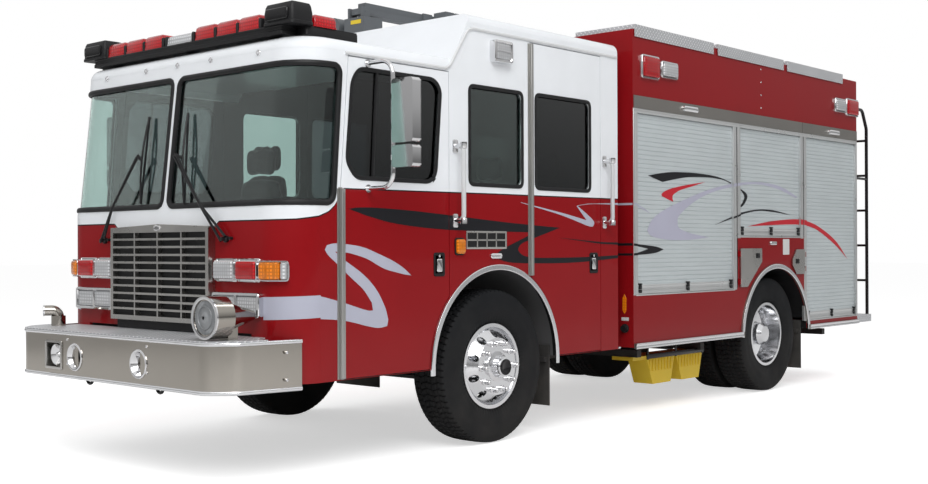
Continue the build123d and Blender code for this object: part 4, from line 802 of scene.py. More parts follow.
# ---- Cab floor, wheelhouses and step wells -------------------------------------------------------
# Grained grey sheet over plywood, with worn and dusty treads.
trim_grey = finish_of("trim_grey", (0.085, 0.086, 0.09), 0.5, 0.75, scale=300, depth=0.35, reach=1.4,
                      amount=0.2)
dress("cab_floor", trim_grey)

# ---- Cab mouldings: drip rails, arch rings, seams and brow markers -------------------------------
# Extruded white drip rails over the doors, polished stainless rings round the wheel arches, and a
# row of five small clear marker lamps on the brow.
drip_white = finish_of("drip_rail_white", (0.74, 0.75, 0.76), 0.25, 0.4, scale=90, depth=0.03, Coat_Weight=0.6)


def arch_ring(name, side, x, centre, radius, ends, lip):
    """Polished ring round a wheel arch, between two angles in degrees."""
    turn = np.radians(np.linspace(*ends, 60))
    path = np.stack([np.full_like(turn, side * x), centre[0] + radius * np.cos(turn),
                     centre[1] + radius * np.sin(turn)], -1)
    build(name, "chassis", polished_alloy, [swept(path, lip, up=(side, 0, 0))], bevel=0.001)


rail_profile = [(0.0, -0.010), (0.0, 0.010), (0.010, 0.010), (0.013, 0.006), (0.013, -0.002), (0.010, -0.004),
                (0.009, -0.010)]
for label, side in sides:
    rail_line = [(-3.395, 2.562), (-2.462, 2.566), (-2.2555, 2.866), (-0.495, 2.866)]
    path = rounded([(side * cab_side, y, z) for y, z in rail_line], 0.05, 5)
    profile = [(side * a, b) for a, b in rail_profile]
    build(f"drip_rail_{label}", "chassis", drip_white, [swept(path, profile)], bevel=0.001)
    lip = [(-0.019, 0.0), (-0.019, 0.010), (-0.014, 0.013), (0.014, 0.013), (0.019, 0.010), (0.019, 0.0)]
    arch_ring(f"cab_arch_ring_{label}", side, cab_side, front_arch, 0.672, (-4, 183), lip)

marker_glass, marker_tree, marker_shader = bare("marker_lens", 0.0, Transmission_Weight=0.5, IOR=1.45,
                                                Coat_Weight=1.0)
tinted(marker_tree, marker_shader, (0.78, 0.78, 0.80),
       grained(marker_tree, marker_shader, 500, 0.05, 0.12, 0.6))
brow_spots = [(-0.84, 2.564), (-0.36, 2.570), (0.0, 2.572), (0.36, 2.570), (0.84, 2.564)]


def nose_y(z):
    """Front face of the cab, which leans back over the belt line."""
    return nose + max(z - belt_z, 0) * nose_lean


lens_shape = [(0.0, 0.002), (0.0135, 0.002), (0.0135, -0.008), (0.0105, -0.014), (0.0, -0.017)]
base_shape = [(0.0, 0.004), (0.019, 0.004), (0.019, -0.004), (0.016, -0.007), (0.0, -0.007)]
build("brow_markers", "chassis", marker_glass,
      [turned(lens_shape, (x, nose_y(z) - 0.001, z), "y", 20) for x, z in brow_spots])
build("brow_marker_bases", "chassis", chrome,
      [turned(base_shape, (x, nose_y(z) - 0.001, z), "y", 20) for x, z in brow_spots])

# ---- Doors: hinges, handles, vent and small lamps ------------------------------------------------
# Full-height stainless piano hinges, black recessed paddle handles with a chrome lever, an eight-slot
# stainless vent between the doors and an amber marker lamp in front of it.
handle_spots = {"front_door": (-2.5555, 1.2575), "crew_door": (-0.809, 1.248)}
hinge_pitch = 0.052
vent_y, vent_z = (-2.2865 - 1.8575) / 2, 1.4205
hinge_runs = {"front_door": (-3.4385, 0.573, 1.738), "crew_door": (-1.5805, 1.165, 2.842)}
for label, side in sides:
    for door, (y, z0, z1) in hinge_runs.items():
        count = int((z1 - z0) / hinge_pitch)
        knuckles = z0 + (z1 - z0) * np.arange(count) / count
        pin = [turned([(0.0, 0.0), (0.0055, 0.0005), (0.0055, 0.048), (0.0, 0.0485)],
                      (side * (cab_side + 0.0055), y, z), "z", 10)
               for z in knuckles]
        leaves = [stacked(0.034, z1 - z0, 0.002, [(0, -0.001), (0, 0.0015), (0.0006, 0.0022)],
                          beside(side, cab_side, y + 0.0025, (z0 + z1) / 2))]
        build(f"{door}_hinge_{label}", "chassis", satin_steel, pin + leaves, sharp=40)
    for door, (y, z) in handle_spots.items():
        body = f"{door}_{label}"
        dish = [(0.020, -0.0), (0.017, 0.001), (0.014, 0.004), (0.010, 0.006), (0.003, 0.006), (0.0, 0.003),
                (0.0, -0.0005)]
        build(f"{door}_handle_dish_{label}", body, black_plastic,
              [stacked(0.108, 0.158, 0.016, dish[::-1], beside(side, cab_side, y, z))], sharp=50)
        lever = [(0, 0.0), (0, 0.006), (0.003, 0.0085), (0.008, 0.0095)]
        build(f"{door}_handle_lever_{label}", body, chrome,
              [stacked(0.052, 0.086, 0.010, lever, beside(side, cab_side + 0.0005, y, z - 0.006)),
               turned([(0.0, 0.0), (0.009, 0.0), (0.009, 0.006), (0.006, 0.008), (0.0, 0.008)],
                      (side * (cab_side + 0.0005), y, z + 0.056), "x", 18, side)])
    bars = [stacked(0.429, 0.125, 0.006, frame_ring(0.005, 0.014), beside(side, cab_side, vent_y, vent_z),
                    open_ring=True)]
    bars += [stacked(0.011, 0.100, 0.001, lid_stack(0.0046, edge=0.001),
                     beside(side, cab_side, vent_y - 0.1005 + 0.1005 * k, vent_z))
             for k in range(3)]
    bars += [stacked(0.404, 0.011, 0.001, lid_stack(0.0046, edge=0.001),
                     beside(side, cab_side, vent_y, vent_z))]
    build(f"cab_vent_{label}", "chassis", satin_steel, bars)
    build(f"cab_vent_dark_{label}", "chassis", black_plastic,
          [stacked(0.404, 0.102, 0.002, [(0, -0.001), (0, 0.0012)], beside(side, cab_side, vent_y, vent_z))])

# ---- Windscreen, windows and their rubber surrounds ----------------------------------------------
# Tinted laminated glass in two halves that wrap round the corners, and tinted side panes, each set
# in a black rubber surround. The front pane has a black divider for its small vent pane.


def glass(name, color, low, **sockets):
    """Clear tinted glass, a little uneven in its tint."""
    material, tree, shader = bare(name, 0.0, Transmission_Weight=1.0, Roughness=0.0, **sockets)
    haze = wire(tree, "ShaderNodeTexNoise", Vector=place_in(tree), Scale=1.7).outputs["Fac"]
    tinted(tree, shader, color, ramp(tree, haze, [(0.3, low), (0.7, 1.0)]))
    return material


front_glass = glass("tinted_glass", (0.54, 0.67, 0.64), 0.95, IOR=1.45, Coat_Weight=0.4)
dark_glass = glass("dark_glass", (0.07, 0.085, 0.09), 0.92, IOR=1.5, Coat_Weight=0.5)
dress("cab_glass", front_glass)
for label, side in sides:
    dress(f"front_door_glass_{label}", dark_glass)
    dress(f"crew_door_glass_{label}", dark_glass)
rubber_black = finish_of("surround_rubber", (0.010, 0.010, 0.011), 0.4, 0.6, scale=240, depth=0.15,
                         Specular_IOR_Level=0.3)


def around_nose(side, s0, z0, reach=0.0):
    """Placer on the cab's front: distance from the middle runs along the face, round the corner, then back."""
    def put(a, b, n):
        s, z = s0 + a, z0 + b
        face = nose + np.maximum(z - belt_z, 0) * nose_lean
        turn = np.clip((s - flat_half) / (corner_radius + reach), 0, np.pi / 2)
        beyond = np.maximum(s - flat_half - (corner_radius + reach) * np.pi / 2, 0)
        x = np.minimum(s, flat_half) + (corner_radius + n) * np.sin(turn)
        y = face + corner_radius - (corner_radius + n) * np.cos(turn) + beyond
        return side * x, y, z
    return put


surround = [(-0.018, -0.002), (-0.017, 0.004), (-0.012, 0.009), (0.0, 0.011), (0.010, 0.009), (0.017, 0.004),
            (0.020, -0.008)]
shield_inner, shield_outer = 0.034, 1.467        # from the middle, along the face and round the corner
shield_mid, shield_wide = (shield_inner + shield_outer) / 2, shield_outer - shield_inner
shield_tall, shield_z = 0.838, 2.061


def windscreen_edge(side):
    """Placer round one half's opening, whose outer end leans inward as it rises."""
    def put(a, b, n):
        lean = 1 + (0.0175 - 0.0411 * (b + shield_tall / 2)) * (a > 0) / (shield_wide / 2)
        return around_nose(side, shield_mid, shield_z)(a * lean, b, n)
    return put


for label, side in sides:
    build(f"windscreen_surround_{label}", "chassis", rubber_black,
          [stacked(shield_wide, shield_tall, 0.055, surround, windscreen_edge(side), arc=8, open_ring=True,
                   runs=24)])


def rounded_loop(points, radius, steps=6):
    """Closed outline with rounded corners."""
    closed = [points[-1]] + list(points) + [points[0]]
    return rounded(closed, radius, steps)[1:-1]


axle_row = -1.9575
window_edges = {
    "front_door": [(-3.3865, 1.895), (-3.3405, 2.400), (-3.2775, 2.484), (-2.5975, 2.484), (-2.5335, 2.420),
                   (-2.5825, 1.850), (-2.6375, 1.796), (-3.3075, 1.796)],
    "cab_middle": [(axle_row - 0.295, 1.796), (axle_row - 0.295, 2.480), (axle_row + 0.285, 2.480),
                   (axle_row + 0.285, 1.796)],
    "crew_door": [(axle_row + 0.431, 1.793), (axle_row + 0.431, 2.485), (axle_row + 1.110, 2.485),
                  (axle_row + 1.110, 1.793)]}
flat_rubber = [(-0.019, 0.0), (-0.016, 0.0045), (0.0, 0.006), (0.008, 0.005), (0.011, -0.012), (0.004, -0.012),
               (0.0, -0.001)]
for label, side in sides:
    for pane, edges in window_edges.items():
        loop = rounded_loop([(side * cab_side, y, z) for y, z in edges], 0.05, 6)
        body = "chassis" if pane == "cab_middle" else f"{pane}_{label}"
        outline_turn = np.sum((np.roll(loop[:, 1], -1) - loop[:, 1]) * (np.roll(loop[:, 2], -1) + loop[:, 2]))
        way = side * (1 if outline_turn > 0 else -1)
        build(f"{pane}_window_surround_{label}", body, rubber_black,
              [swept(loop, [(way * side * a * -1, b) for a, b in flat_rubber], closed_path=True,
                     up=(side, 0, 0))])
    divider = [(side * (cab_side - 0.010), -3.155, 1.80), (side * (cab_side - 0.010), -3.115, 2.48)]
    build(f"vent_pane_divider_{label}", f"front_door_{label}", rubber_black,
          [swept(divider, ring(0.011, 8), up=(1, 0, 0))])

# ---- Grille, wipers and front lamps --------------------------------------------------------------
# A stainless grille stands off a black opening under a peaked visor with a blank oval badge. Beside
# it are square lamps in chrome bezels, an amber lamp round each corner and twin headlamps below.
dress("grille", satin_steel)
grille_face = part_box("grille")[0].y
visor = [(-0.548, 1.500), (-0.548, 1.508), (0.0, 1.528), (0.548, 1.508), (0.548, 1.500)]
visor_points = [(x, y, z) for y in (grille_face + 0.0005, nose + 0.002) for x, z in visor]
build("grille_visor", "chassis", satin_steel,
      [prism(visor_points)], bevel=0.002)
badge_turn = np.linspace(0, 2 * np.pi, 28, endpoint=False)[:, None]
badge_size = np.array([1.0, 1.0, 0.92, 0.80, 0.4])
badge_rise = np.array([0.0, 0.004, 0.007, 0.006, 0.0062])
badge = np.stack([0.036 * badge_size * np.cos(badge_turn), grille_face - np.broadcast_to(badge_rise, (28, 5)),
                  1.503 + 0.020 * badge_size * np.sin(badge_turn)], axis=-1)
badge_points, badge_faces = grid(badge.transpose(1, 0, 2), wrap_columns=True)
build("grille_blank_badge", "chassis", chrome,
      [capped(badge_points, badge_faces, 28)])
build("grille_backing", "chassis", black_plastic,
      [stacked(1.06, 0.60, 0.01, [(0, 0), (0, 0.022)], ahead_of(0, nose - 0.0005, 1.20)),
       stacked(1.04, 0.060, 0.01, [(0, 0), (0, 0.020)], ahead_of(0, nose, 0.872))])


def on_nose(x, z, off):
    """Point on the cab's front, standing off it."""
    return (x, nose_y(z) - off, z)


wiper_black = finish_of("wiper_black", (0.009, 0.009, 0.010), 0.3, 0.5, scale=300, depth=0.1,
                        Specular_IOR_Level=0.3)
for label, pivot, tip, foot, head in (("right", (-0.690, 1.426), (-0.293, 1.988), (-0.263, 1.665),
                                       (-0.258, 2.250)),
                                      ("left", (0.664, 1.427), (0.130, 1.973), (0.227, 1.654), (0.179, 2.244))):
    lean = (0.022, 0.014)
    arms = [swept([on_nose(pivot[0] + k * lean[0], pivot[1] + k * lean[1], 0.030),
                   on_nose(pivot[0] * 0.6 + tip[0] * 0.4, pivot[1] * 0.6 + tip[1] * 0.4, 0.055),
                   on_nose(tip[0] + k * 0.010, tip[1] + k * 0.006, 0.050)], ring(0.0085, 8), up=(0, 1, 0))
            for k in (-1, 1)]
    spindle = [turned([(0.0, 0.0), (0.022, 0.0), (0.022, 0.018), (0.014, 0.026), (0.012, 0.046), (0.0, 0.050)],
                      (pivot[0], nose, pivot[1]), "y", 20, -1),
               turned([(0.0, 0.0), (0.010, 0.0), (0.010, 0.022), (0.0, 0.026)],
                      (pivot[0] + 0.050, nose, pivot[1] + 0.004), "y", 14, -1)]
    mid = ((foot[0] + head[0]) / 2, (foot[1] + head[1]) / 2)
    link = [swept([on_nose(*tip, 0.050), on_nose(mid[0], mid[1], 0.040)], ring(0.011, 8), up=(0, 1, 0))]
    spine = [on_nose(foot[0] + (head[0] - foot[0]) * t, foot[1] + (head[1] - foot[1]) * t,
                     0.013 + 0.024 * math.sin(math.pi * t))
             for t in np.linspace(0, 1, 13)]
    blade = [swept(spine, ring(0.0070, 6), up=(0, 1, 0)),
             swept([on_nose(*foot, 0.008), on_nose(*mid, 0.009), on_nose(*head, 0.008)],
                   [(-0.0035, -0.008), (0.0035, -0.008), (0.0045, 0.004), (-0.0045, 0.004)], up=(0, 1, 0))]
    build(f"wiper_{label}", "chassis", wiper_black, arms + spindle + link + blade)


def lens(name, color, glow_color=None, glow=0.0):
    """Moulded lens: clear coat over a body with a regular grid of small pillow optics."""
    material, tree, shader = bare(name, 0.0, Coat_Weight=0.5, Coat_Roughness=0.02, Transmission_Weight=0.2,
                                  IOR=1.49, Specular_IOR_Level=0.3)
    cells = wire(tree, "ShaderNodeTexVoronoi", {"feature": "F1", "distance": "CHEBYCHEV"},
                 Vector=place_in(tree),
                 Scale=46.0, Randomness=0.0).outputs["Distance"]
    spots = remap(tree, cells, 0.1, 0.5, 1.35, 0.55)
    shade = mix(tree, 1.0, (*color, 1), spots, blend_type="MULTIPLY")
    tinted(tree, shader, shade, grained(tree, shader, 90, 0.06, 0.14, 0.02))
    bump = wire(tree, "ShaderNodeBump", Strength=0.7, Distance=0.004, Height=cells).outputs[0]
    tree.links.new(bump, shader["Normal"])
    if glow:
        shader["Emission Color"].default_value = (*glow_color, 1)
        shader["Emission Strength"].default_value = glow
    return material


red_lens = lens("red_lens", (0.50, 0.004, 0.008), (0.6, 0.0, 0.01), 0.10)
clear_lens = lens("clear_lens", (0.74, 0.75, 0.77))
amber_lens = lens("amber_lens", (0.90, 0.26, 0.012), (0.9, 0.25, 0.0), 0.10)
housing, lens_face = 0.034, 0.048
clear_at, red_at, square_z = 0.672, 0.892, 1.2365         # middles of the square lamps
amber_at, corner_at, corner_z = 1.090, 1.192, 1.234       # and of the two round the corner
twin_at, twin_z = 0.7865, 1.0275                          # and of the twin headlamps
flood_y, flood_z = axle_row + 0.0215, 2.7365
marker_place = (-2.356, 1.3765)
for label, side in sides:
    bezels = []
    for middle in (clear_at, red_at):
        put = around_nose(side, middle, square_z, 0.05)
        bezels.append(stacked(0.218, 0.142, 0.012,
                              [(0, 0), (0, 0.012), (0.003, 0.015), (0.010, 0.015), (0.014, housing),
                                                     (0.017, housing + 0.002), (0.022, housing), (0.022, 0.01)],
                              put, open_ring=True, runs=4))
        for a in (-0.09, 0.09):
            for b in (-0.063, 0.063):
                bezels.append(turned([(0.0, 0.0), (0.005, 0.0), (0.004, 0.003), (0.0, 0.004)],
                                     (side * (middle + a), nose - 0.015, square_z + b), "y", 10, -1))
    bezels.append(stacked(0.222, 0.124, 0.024,
                          [(0, 0), (0, 0.030), (0.003, 0.034), (0.008, 0.034), (0.012, 0.030), (0.012, 0.005)],
                          around_nose(side, 1.116, corner_z, 0.05), arc=5, open_ring=True, runs=10))
    bezels.append(stacked(0.453, 0.151, 0.020,
                          [(0, 0), (0, 0.036), (0.004, 0.042), (0.016, 0.042), (0.022, 0.034), (0.022, 0.004)],
                          around_nose(side, twin_at, twin_z), arc=5, open_ring=True))
    bezels.append(stacked(0.022, 0.118, 0.002, lid_stack(0.040, edge=0.003),
                          around_nose(side, twin_at, twin_z)))
    bezels.append(stacked(0.430, 0.130, 0.010, [(0, 0.0), (0, 0.008)], around_nose(side, twin_at, twin_z)))
    build(f"front_lamp_bezels_{label}", "chassis", chrome, bezels, stands_for=("cab_lamps",))
    face = [(0, 0.004), (0, lens_face - 0.006), (0.004, lens_face), (0.020, lens_face + 0.003),
            (0.045, lens_face + 0.004)]
    for name, middle, finish in (("clear", clear_at, clear_lens), ("red", red_at, red_lens)):
        build(f"front_{name}_lamp_{label}", "chassis", finish,
              [stacked(0.178, 0.108, 0.012, face, around_nose(side, middle, square_z, 0.05), runs=4)],
              stands_for=("cab_lamps",))
    amber_face = [(0, 0.004), (0, 0.036), (0.004, 0.042), (0.020, 0.045), (0.040, 0.0455)]
    build(f"corner_amber_lamp_{label}", "chassis", amber_lens,
          [stacked(0.150, 0.098, 0.014, amber_face, around_nose(side, amber_at, corner_z, 0.05), arc=5,
                   runs=10)], stands_for=("cab_lamps",))
    build(f"corner_clear_lamp_{label}", "chassis", clear_lens,
          [stacked(0.044, 0.098, 0.012, amber_face[:3], around_nose(side, corner_at, corner_z, 0.05), arc=5,
                   runs=4)], stands_for=("cab_lamps",))
    build(f"headlamps_{label}", "chassis", clear_lens,
          [stacked(0.192, 0.106, 0.014,
                   [(0, 0.004), (0, 0.030), (0.004, 0.036), (0.030, 0.039), (0.048, 0.0395)],
                   around_nose(side, twin_at + a, twin_z), runs=2) for a in (-0.1075, 0.1075)],
          stands_for=("cab_lamps",))
    build(f"side_marker_{label}", "chassis", amber_lens,
          [stacked(0.078, 0.098, 0.018, lid_stack(0.026, 0.004, 0.004), beside(side, cab_side, *marker_place),
                   arc=6)],
          stands_for=("cab_lamps",))
    build(f"side_marker_base_{label}", "chassis", rubber_black,
          [stacked(0.096, 0.116, 0.020, lid_stack(0.008, edge=0.003), beside(side, cab_side, *marker_place),
                   arc=6)])
    build(f"step_light_{label}", "chassis", chrome,
          [stacked(0.122, 0.036, 0.016, [(0, 0), (0, 0.009), (0.006, 0.013), (0.014, 0.010), (0.014, 0.007)],
                   beside(side, cab_side, -1.9735, 1.3095), arc=6)])
    build(f"flood_bezel_{label}", "chassis", chrome,
          [stacked(0.196, 0.158, 0.022,
                   [(0, 0), (0, 0.046), (0.004, 0.055), (0.018, 0.058), (0.024, 0.050), (0.024, 0.010)],
                   beside(side, cab_side, flood_y, flood_z), arc=5, open_ring=True),
           stacked(0.170, 0.010, 0.003, lid_stack(0.056, edge=0.002), beside(side, cab_side, flood_y, flood_z)),
           stacked(0.150, 0.110, 0.010, [(0, 0.0), (0, 0.010)], beside(side, cab_side, flood_y, flood_z))],
          stands_for=("cab_lamps",))
    build(f"flood_lens_{label}", "chassis", clear_lens,
          [stacked(0.148, 0.110, 0.010, [(0, 0.008), (0, 0.046), (0.003, 0.050), (0.02, 0.052)],
                   beside(side, cab_side, flood_y, flood_z))], stands_for=("cab_lamps",))

# ---- Cab interior and steering wheel -------------------------------------------------------------
# Grained dark grey mouldings over the engine tunnel and instrument panel, and a soft black wheel.
dark_trim = finish_of("dark_trim", (0.030, 0.031, 0.033), 0.55, 0.8, scale=420, depth=0.5)
dress("cab_interior", dark_trim)
dress("steering_wheel", black_plastic)

# ---- Seats ---------------------------------------------------------------------------------------
# Seven suspension seats in woven black cloth: a stuffed cushion, back and headrest, each sewn as a
# closed bag round foam, on a moulded pedestal.
cloth, cloth_tree, cloth_shader = bare("seat_cloth", 0.0, Sheen_Weight=0.35, Specular_IOR_Level=0.3)
place = place_in(cloth_tree)
threads = [wire(cloth_tree, "ShaderNodeTexWave", {"wave_type": "BANDS", "bands_direction": way}, Vector=place,
                Scale=260.0).outputs["Fac"]
           for way in ("X", "Y", "Z")]
weave = calc(cloth_tree, "MULTIPLY", calc(cloth_tree, "ADD", threads[0], threads[1]), threads[2])
woven = ramp(cloth_tree, weave, [(0.0, (0.012, 0.012, 0.014)), (1.0, (0.045, 0.046, 0.052))])
tinted(cloth_tree, cloth_shader, woven, grained(cloth_tree, cloth_shader, 700, 0.75, 0.95, 0.3))


def pad(name, size, crown, centre):
    """Stuffed bag: a rounded box on a grid over six sides, pressed out by cloth pressure from inside."""
    work = bmesh.new()
    bmesh.ops.create_cube(work, size=1.0)
    bmesh.ops.subdivide_edges(work, edges=work.edges, cuts=5, use_grid_fill=True)
    places = np.array([v.co for v in work.verts])
    short = np.clip(1 - 0.10 * (np.abs(places[:, [1, 2, 0]] * 2) ** 4 + np.abs(places[:, [2, 0, 1]] * 2) ** 4),
                    0.75, 1)
    places = places * short * np.asarray(size)
    for vert, spot in zip(work.verts, places):
        vert.co = spot
    mesh = bpy.data.meshes.new(name)
    work.to_mesh(mesh)
    work.free()
    made = bpy.data.objects.new(name, mesh)
    scene.collection.objects.link(made)
    bpy.context.view_layer.objects.active = made
    voxels = made.modifiers.new("voxels", "REMESH")
    voxels.mode = "VOXEL"
    voxels.voxel_size = 0.016
    made.select_set(True)
    bpy.ops.object.modifier_apply(modifier="voxels")
    stuffing = made.modifiers.new("stuffing", "CLOTH")
    stuffing.settings.use_pressure = True
    stuffing.settings.uniform_pressure_force = 4.0
    stuffing.settings.effector_weights.gravity = 0.0
    for step in range(1, 21):
        scene.frame_set(step)
    swollen = made.evaluated_get(bpy.context.evaluated_depsgraph_get()).to_mesh()
    end = np.empty(len(swollen.vertices) * 3)
    swollen.vertices.foreach_get("co", end)
    start = np.empty(len(made.data.vertices) * 3)
    made.data.vertices.foreach_get("co", start)
    move = (end - start).reshape(-1, 3)
    length = np.linalg.norm(move, axis=1)[:, None]
    settled = start.reshape(-1, 3) + move * np.minimum(1, crown / np.maximum(length, 1e-6))
    made.modifiers.remove(stuffing)
    made.data.vertices.foreach_set("co", settled.ravel())
    scene.frame_set(1)
    made.select_set(False)
    settled = np.empty(len(made.data.vertices) * 3)
    made.data.vertices.foreach_get("co", settled)
    points = settled.reshape(-1, 3) + np.asarray(centre)
    faces = [list(p.vertices) for p in made.data.polygons]
    bpy.data.objects.remove(made)
    return points, faces


masters = {"cushion": pad("cushion_master", (0.430, 0.455, 0.080), 0.014, (0, 0.225, -0.055)),
           "back": pad("back_master", (0.440, 0.080, 0.590), 0.014, (0, -0.055, 0.330)),
           "headrest": pad("headrest_master", (0.270, 0.060, 0.205), 0.012, (0, -0.055, 0.745))}
seat_shell = finish_of("seat_shell", (0.022, 0.022, 0.024), 0.5, 0.7, scale=300, depth=0.4)
seat_rows = [("driver", 0.730, -2.5175, 1.290, -1), ("officer", -0.730, -2.5175, 1.290, -1),
             ("crew_1", 0.800, -2.2875, 1.330, 1),
             ("crew_2", -0.800, -2.2875, 1.330, 1), ("crew_3", -0.590, -0.6495, 1.290, -1),
             ("crew_4", 0.0, -0.6495, 1.290, -1),
             ("crew_5", 0.590, -0.6495, 1.290, -1)]
for seat, x, y, z, way in seat_rows:
    pedestal = [stacked(0.36, 0.32, 0.03,
                        [(0.01, -0.64), (0, -0.62), (0.03, -0.30), (0.03, -0.115), (0.0, -0.105)],
                        above(x, y + way * 0.22, z), arc=5)]
    slides = [stacked(0.030, 0.42, 0.004, [(0, -0.112), (0, -0.100)], above(x + a, y + way * 0.225, z))
              for a in (-0.17, 0.17)]
    build(f"{seat}_seat_pedestal", "chassis", seat_shell, pedestal + slides,
          stands_for=("seats",))
    for pad_name, (points, faces) in masters.items():
        made = build(f"{seat}_seat_{pad_name}", "chassis", cloth,
                     [(points * np.array([1, way, 1]) + np.array([x, y, z]), faces)], sharp=180,
                     stands_for=("seats",))
        plump = made.modifiers.new("plump", "SUBSURF")
        plump.levels = plump.render_levels = 1

# ---- Roof light bar ------------------------------------------------------------------------------
# A black aluminium beam on feet carries six red lamp modules, a clear one in the middle, and a black
# pod at each end with an arm of more lamps behind it.
bar_y, beam_z, module_z = -3.6575, 2.661, 2.7185
arm_x, pod_x = 1.080, 1.020
powder_black = finish_of("powder_black", (0.009, 0.009, 0.010), 0.4, 0.6, scale=420, depth=0.3,
                         Specular_IOR_Level=0.3)
beam = [stacked(2.08, 0.140, 0.012,
                [(0, 0.0), (0, 0.020), (0.006, 0.026), (0.006, 0.044), (0, 0.050), (0.002, 0.057)],
                above(0, bar_y, beam_z + 0.001))]
beam += [stacked(0.060, 0.064, 0.008, [(0, -0.010), (0, 0.006), (0.012, 0.014)],
                 above(x, bar_y + 0.028, beam_z)) for x in (-0.87, 0.0, 0.87)]
for label, side in sides:
    beam.append(stacked(0.100, 0.430, 0.015, [(0, 0.0), (0, 0.045), (0.004, 0.052), (0.004, 0.058)],
                        above(side * arm_x, bar_y + 0.265, beam_z)))
    beam.append(stacked(0.060, 0.060, 0.008, [(0, -0.010), (0, 0.006)],
                        above(side * arm_x, bar_y + 0.43, beam_z)))
    pod = [(0.0, 0.0), (0.0, 0.016), (0.006, 0.022), (0.004, 0.070), (0.012, 0.112), (0.022, 0.130),
           (0.040, 0.136)]
    beam.append(stacked(0.280, 0.185, 0.030, pod, above(side * pod_x, bar_y + 0.0025, module_z - 0.003), arc=5))
build("light_bar_beam", "chassis", powder_black, beam, stands_for=("light_bar",))
dome_stack = [(0, 0.0), (0, 0.012), (0.004, 0.014), (0.004, 0.055), (0.010, 0.078), (0.022, 0.090),
              (0.045, 0.0935)]
module_spans = [(-0.866, -0.650), (-0.641, -0.425), (-0.415, -0.199), (0.158, 0.375), (0.386, 0.602),
                (0.612, 0.828)]
build("light_bar_red_modules", "chassis", red_lens,
      [stacked(b - a - 0.006, 0.136, 0.014, dome_stack, above((a + b) / 2, bar_y, module_z))
       for a, b in module_spans]
      + [stacked(0.110, 0.186, 0.014, [(i, n * 0.83) for i, n in dome_stack],
                 above(s * arm_x, bar_y + 0.205, module_z)) for s in (-1, 1)],
      stands_for=("light_bar",))
build("light_bar_clear_module", "chassis", clear_lens,
      [stacked(0.274, 0.136, 0.014, [(i, n * 0.7) for i, n in dome_stack], above(-0.012, bar_y, module_z))],
      stands_for=("light_bar",))
build("light_bar_end_caps", "chassis", powder_black,
      [stacked(0.022, 0.140, 0.006, [(0, 0.0), (0, 0.050), (0.003, 0.062)], above(x, bar_y, module_z))
       for x in (-0.872, -0.6455, -0.420, -0.194, -0.154, 0.1435, 0.3805, 0.607, 0.834)],
      stands_for=("light_bar",))
pod_face = [(0, 0.0), (0, 0.010), (0.004, 0.014), (0.02, 0.016)]
build("light_bar_pod_lenses", "chassis", gloss_black,
      [stacked(0.210, 0.070, 0.016, pod_face, ahead_of(s * pod_x, bar_y - 0.082, 2.778)) for s in (-1, 1)])
build("roof_antenna", "chassis", black_plastic,
      [turned([(0.0, 0.0), (0.026, 0.0), (0.022, 0.012), (0.007, 0.020), (0.0045, 0.050), (0.0035, 0.135),
               (0.0, 0.138)],
              (1.0, axle_row - 1.44, low_roof - 0.001), "z", 16)])

# ---- Grab rails and mirrors ----------------------------------------------------------------------
# Grey-white fluted tubes in chrome stanchions; chrome mirror arms with a tall flat glass over a small
# round-backed one, both facing rearward.
rail_grey, rail_tree, rail_shader = bare("fluted_rail", 0.0, Coat_Weight=0.3)
flutes = wire(rail_tree, "ShaderNodeTexWave", {"wave_type": "BANDS", "bands_direction": "Y"},
              Vector=place_in(rail_tree), Scale=48.0).outputs["Fac"]
fluted = ramp(rail_tree, flutes, [(0.0, (0.50, 0.51, 0.52)), (1.0, (0.72, 0.73, 0.74))])
tinted(rail_tree, rail_shader, fluted, grained(rail_tree, rail_shader, 300, 0.35, 0.5, 0.1))
dress("grab_rails", rail_grey)
rail_places = {"front": (axle_row - 0.440, 1.490, 2.110), "rear": (axle_row + 1.292, 1.500, 2.095)}
for label, side in sides:
    collars = []
    for y, z0, z1 in rail_places.values():
        for z, way in ((z0 + 0.006, 1), (z1 - 0.006, -1)):
            seat_z = z + way * 0.054
            collars.append(turned([(0.0, 0.0), (0.0225, 0.0), (0.0225, 0.034), (0.020, 0.040), (0.0168, 0.042),
                                   (0.0, 0.042)],
                                  (side * 1.320, y, z + way * 0.030), "z", 20, way))
            collars.append(stacked(0.050, 0.092, 0.012, lid_stack(0.008, edge=0.003),
                                   beside(side, cab_side, y, seat_z)))
            collars.append(turned([(0.0, 0.0), (0.019, 0.0), (0.0175, 0.060), (0.0165, 0.066), (0.0, 0.066)],
                                  (side * (cab_side + 0.004), y, seat_z), "x", 20, side))
    build(f"grab_rail_stanchions_{label}", "chassis", chrome, collars)
    dress(f"mirror_{label}", chrome)
mirror_glass, silver_tree, silver_shader = bare("mirror_glass", 1.0)
tinted(silver_tree, silver_shader, (0.80, 0.83, 0.85), grained(silver_tree, silver_shader, 3, 0.0, 0.02, 0.02))
mirror_x, mirror_y = 1.580, -3.1695
mirror_sizes = [(2.199, 0.388), (1.9225, 0.135)]          # height of the middle, and height of the glass


def behind(x, y, z):
    """Placer for pieces whose face looks rearward."""
    return lambda a, b, n: (x + a, y + n, z + b)


for label, side in sides:
    build(f"mirror_rims_{label}", f"front_door_{label}", rubber_black,
          [stacked(0.178, height, 0.020,
                   [(0, -0.006), (0, 0.001), (0.003, 0.003), (0.008, 0.003), (0.009, 0.0)],
                   behind(side * mirror_x, mirror_y, z), open_ring=True) for z, height in mirror_sizes])
    build(f"mirror_panes_{label}", f"front_door_{label}", mirror_glass,
          [stacked(0.162, height - 0.016, 0.014, [(0, -0.004), (0, 0.0006)],
                   behind(side * mirror_x, mirror_y, z)) for z, height in mirror_sizes])

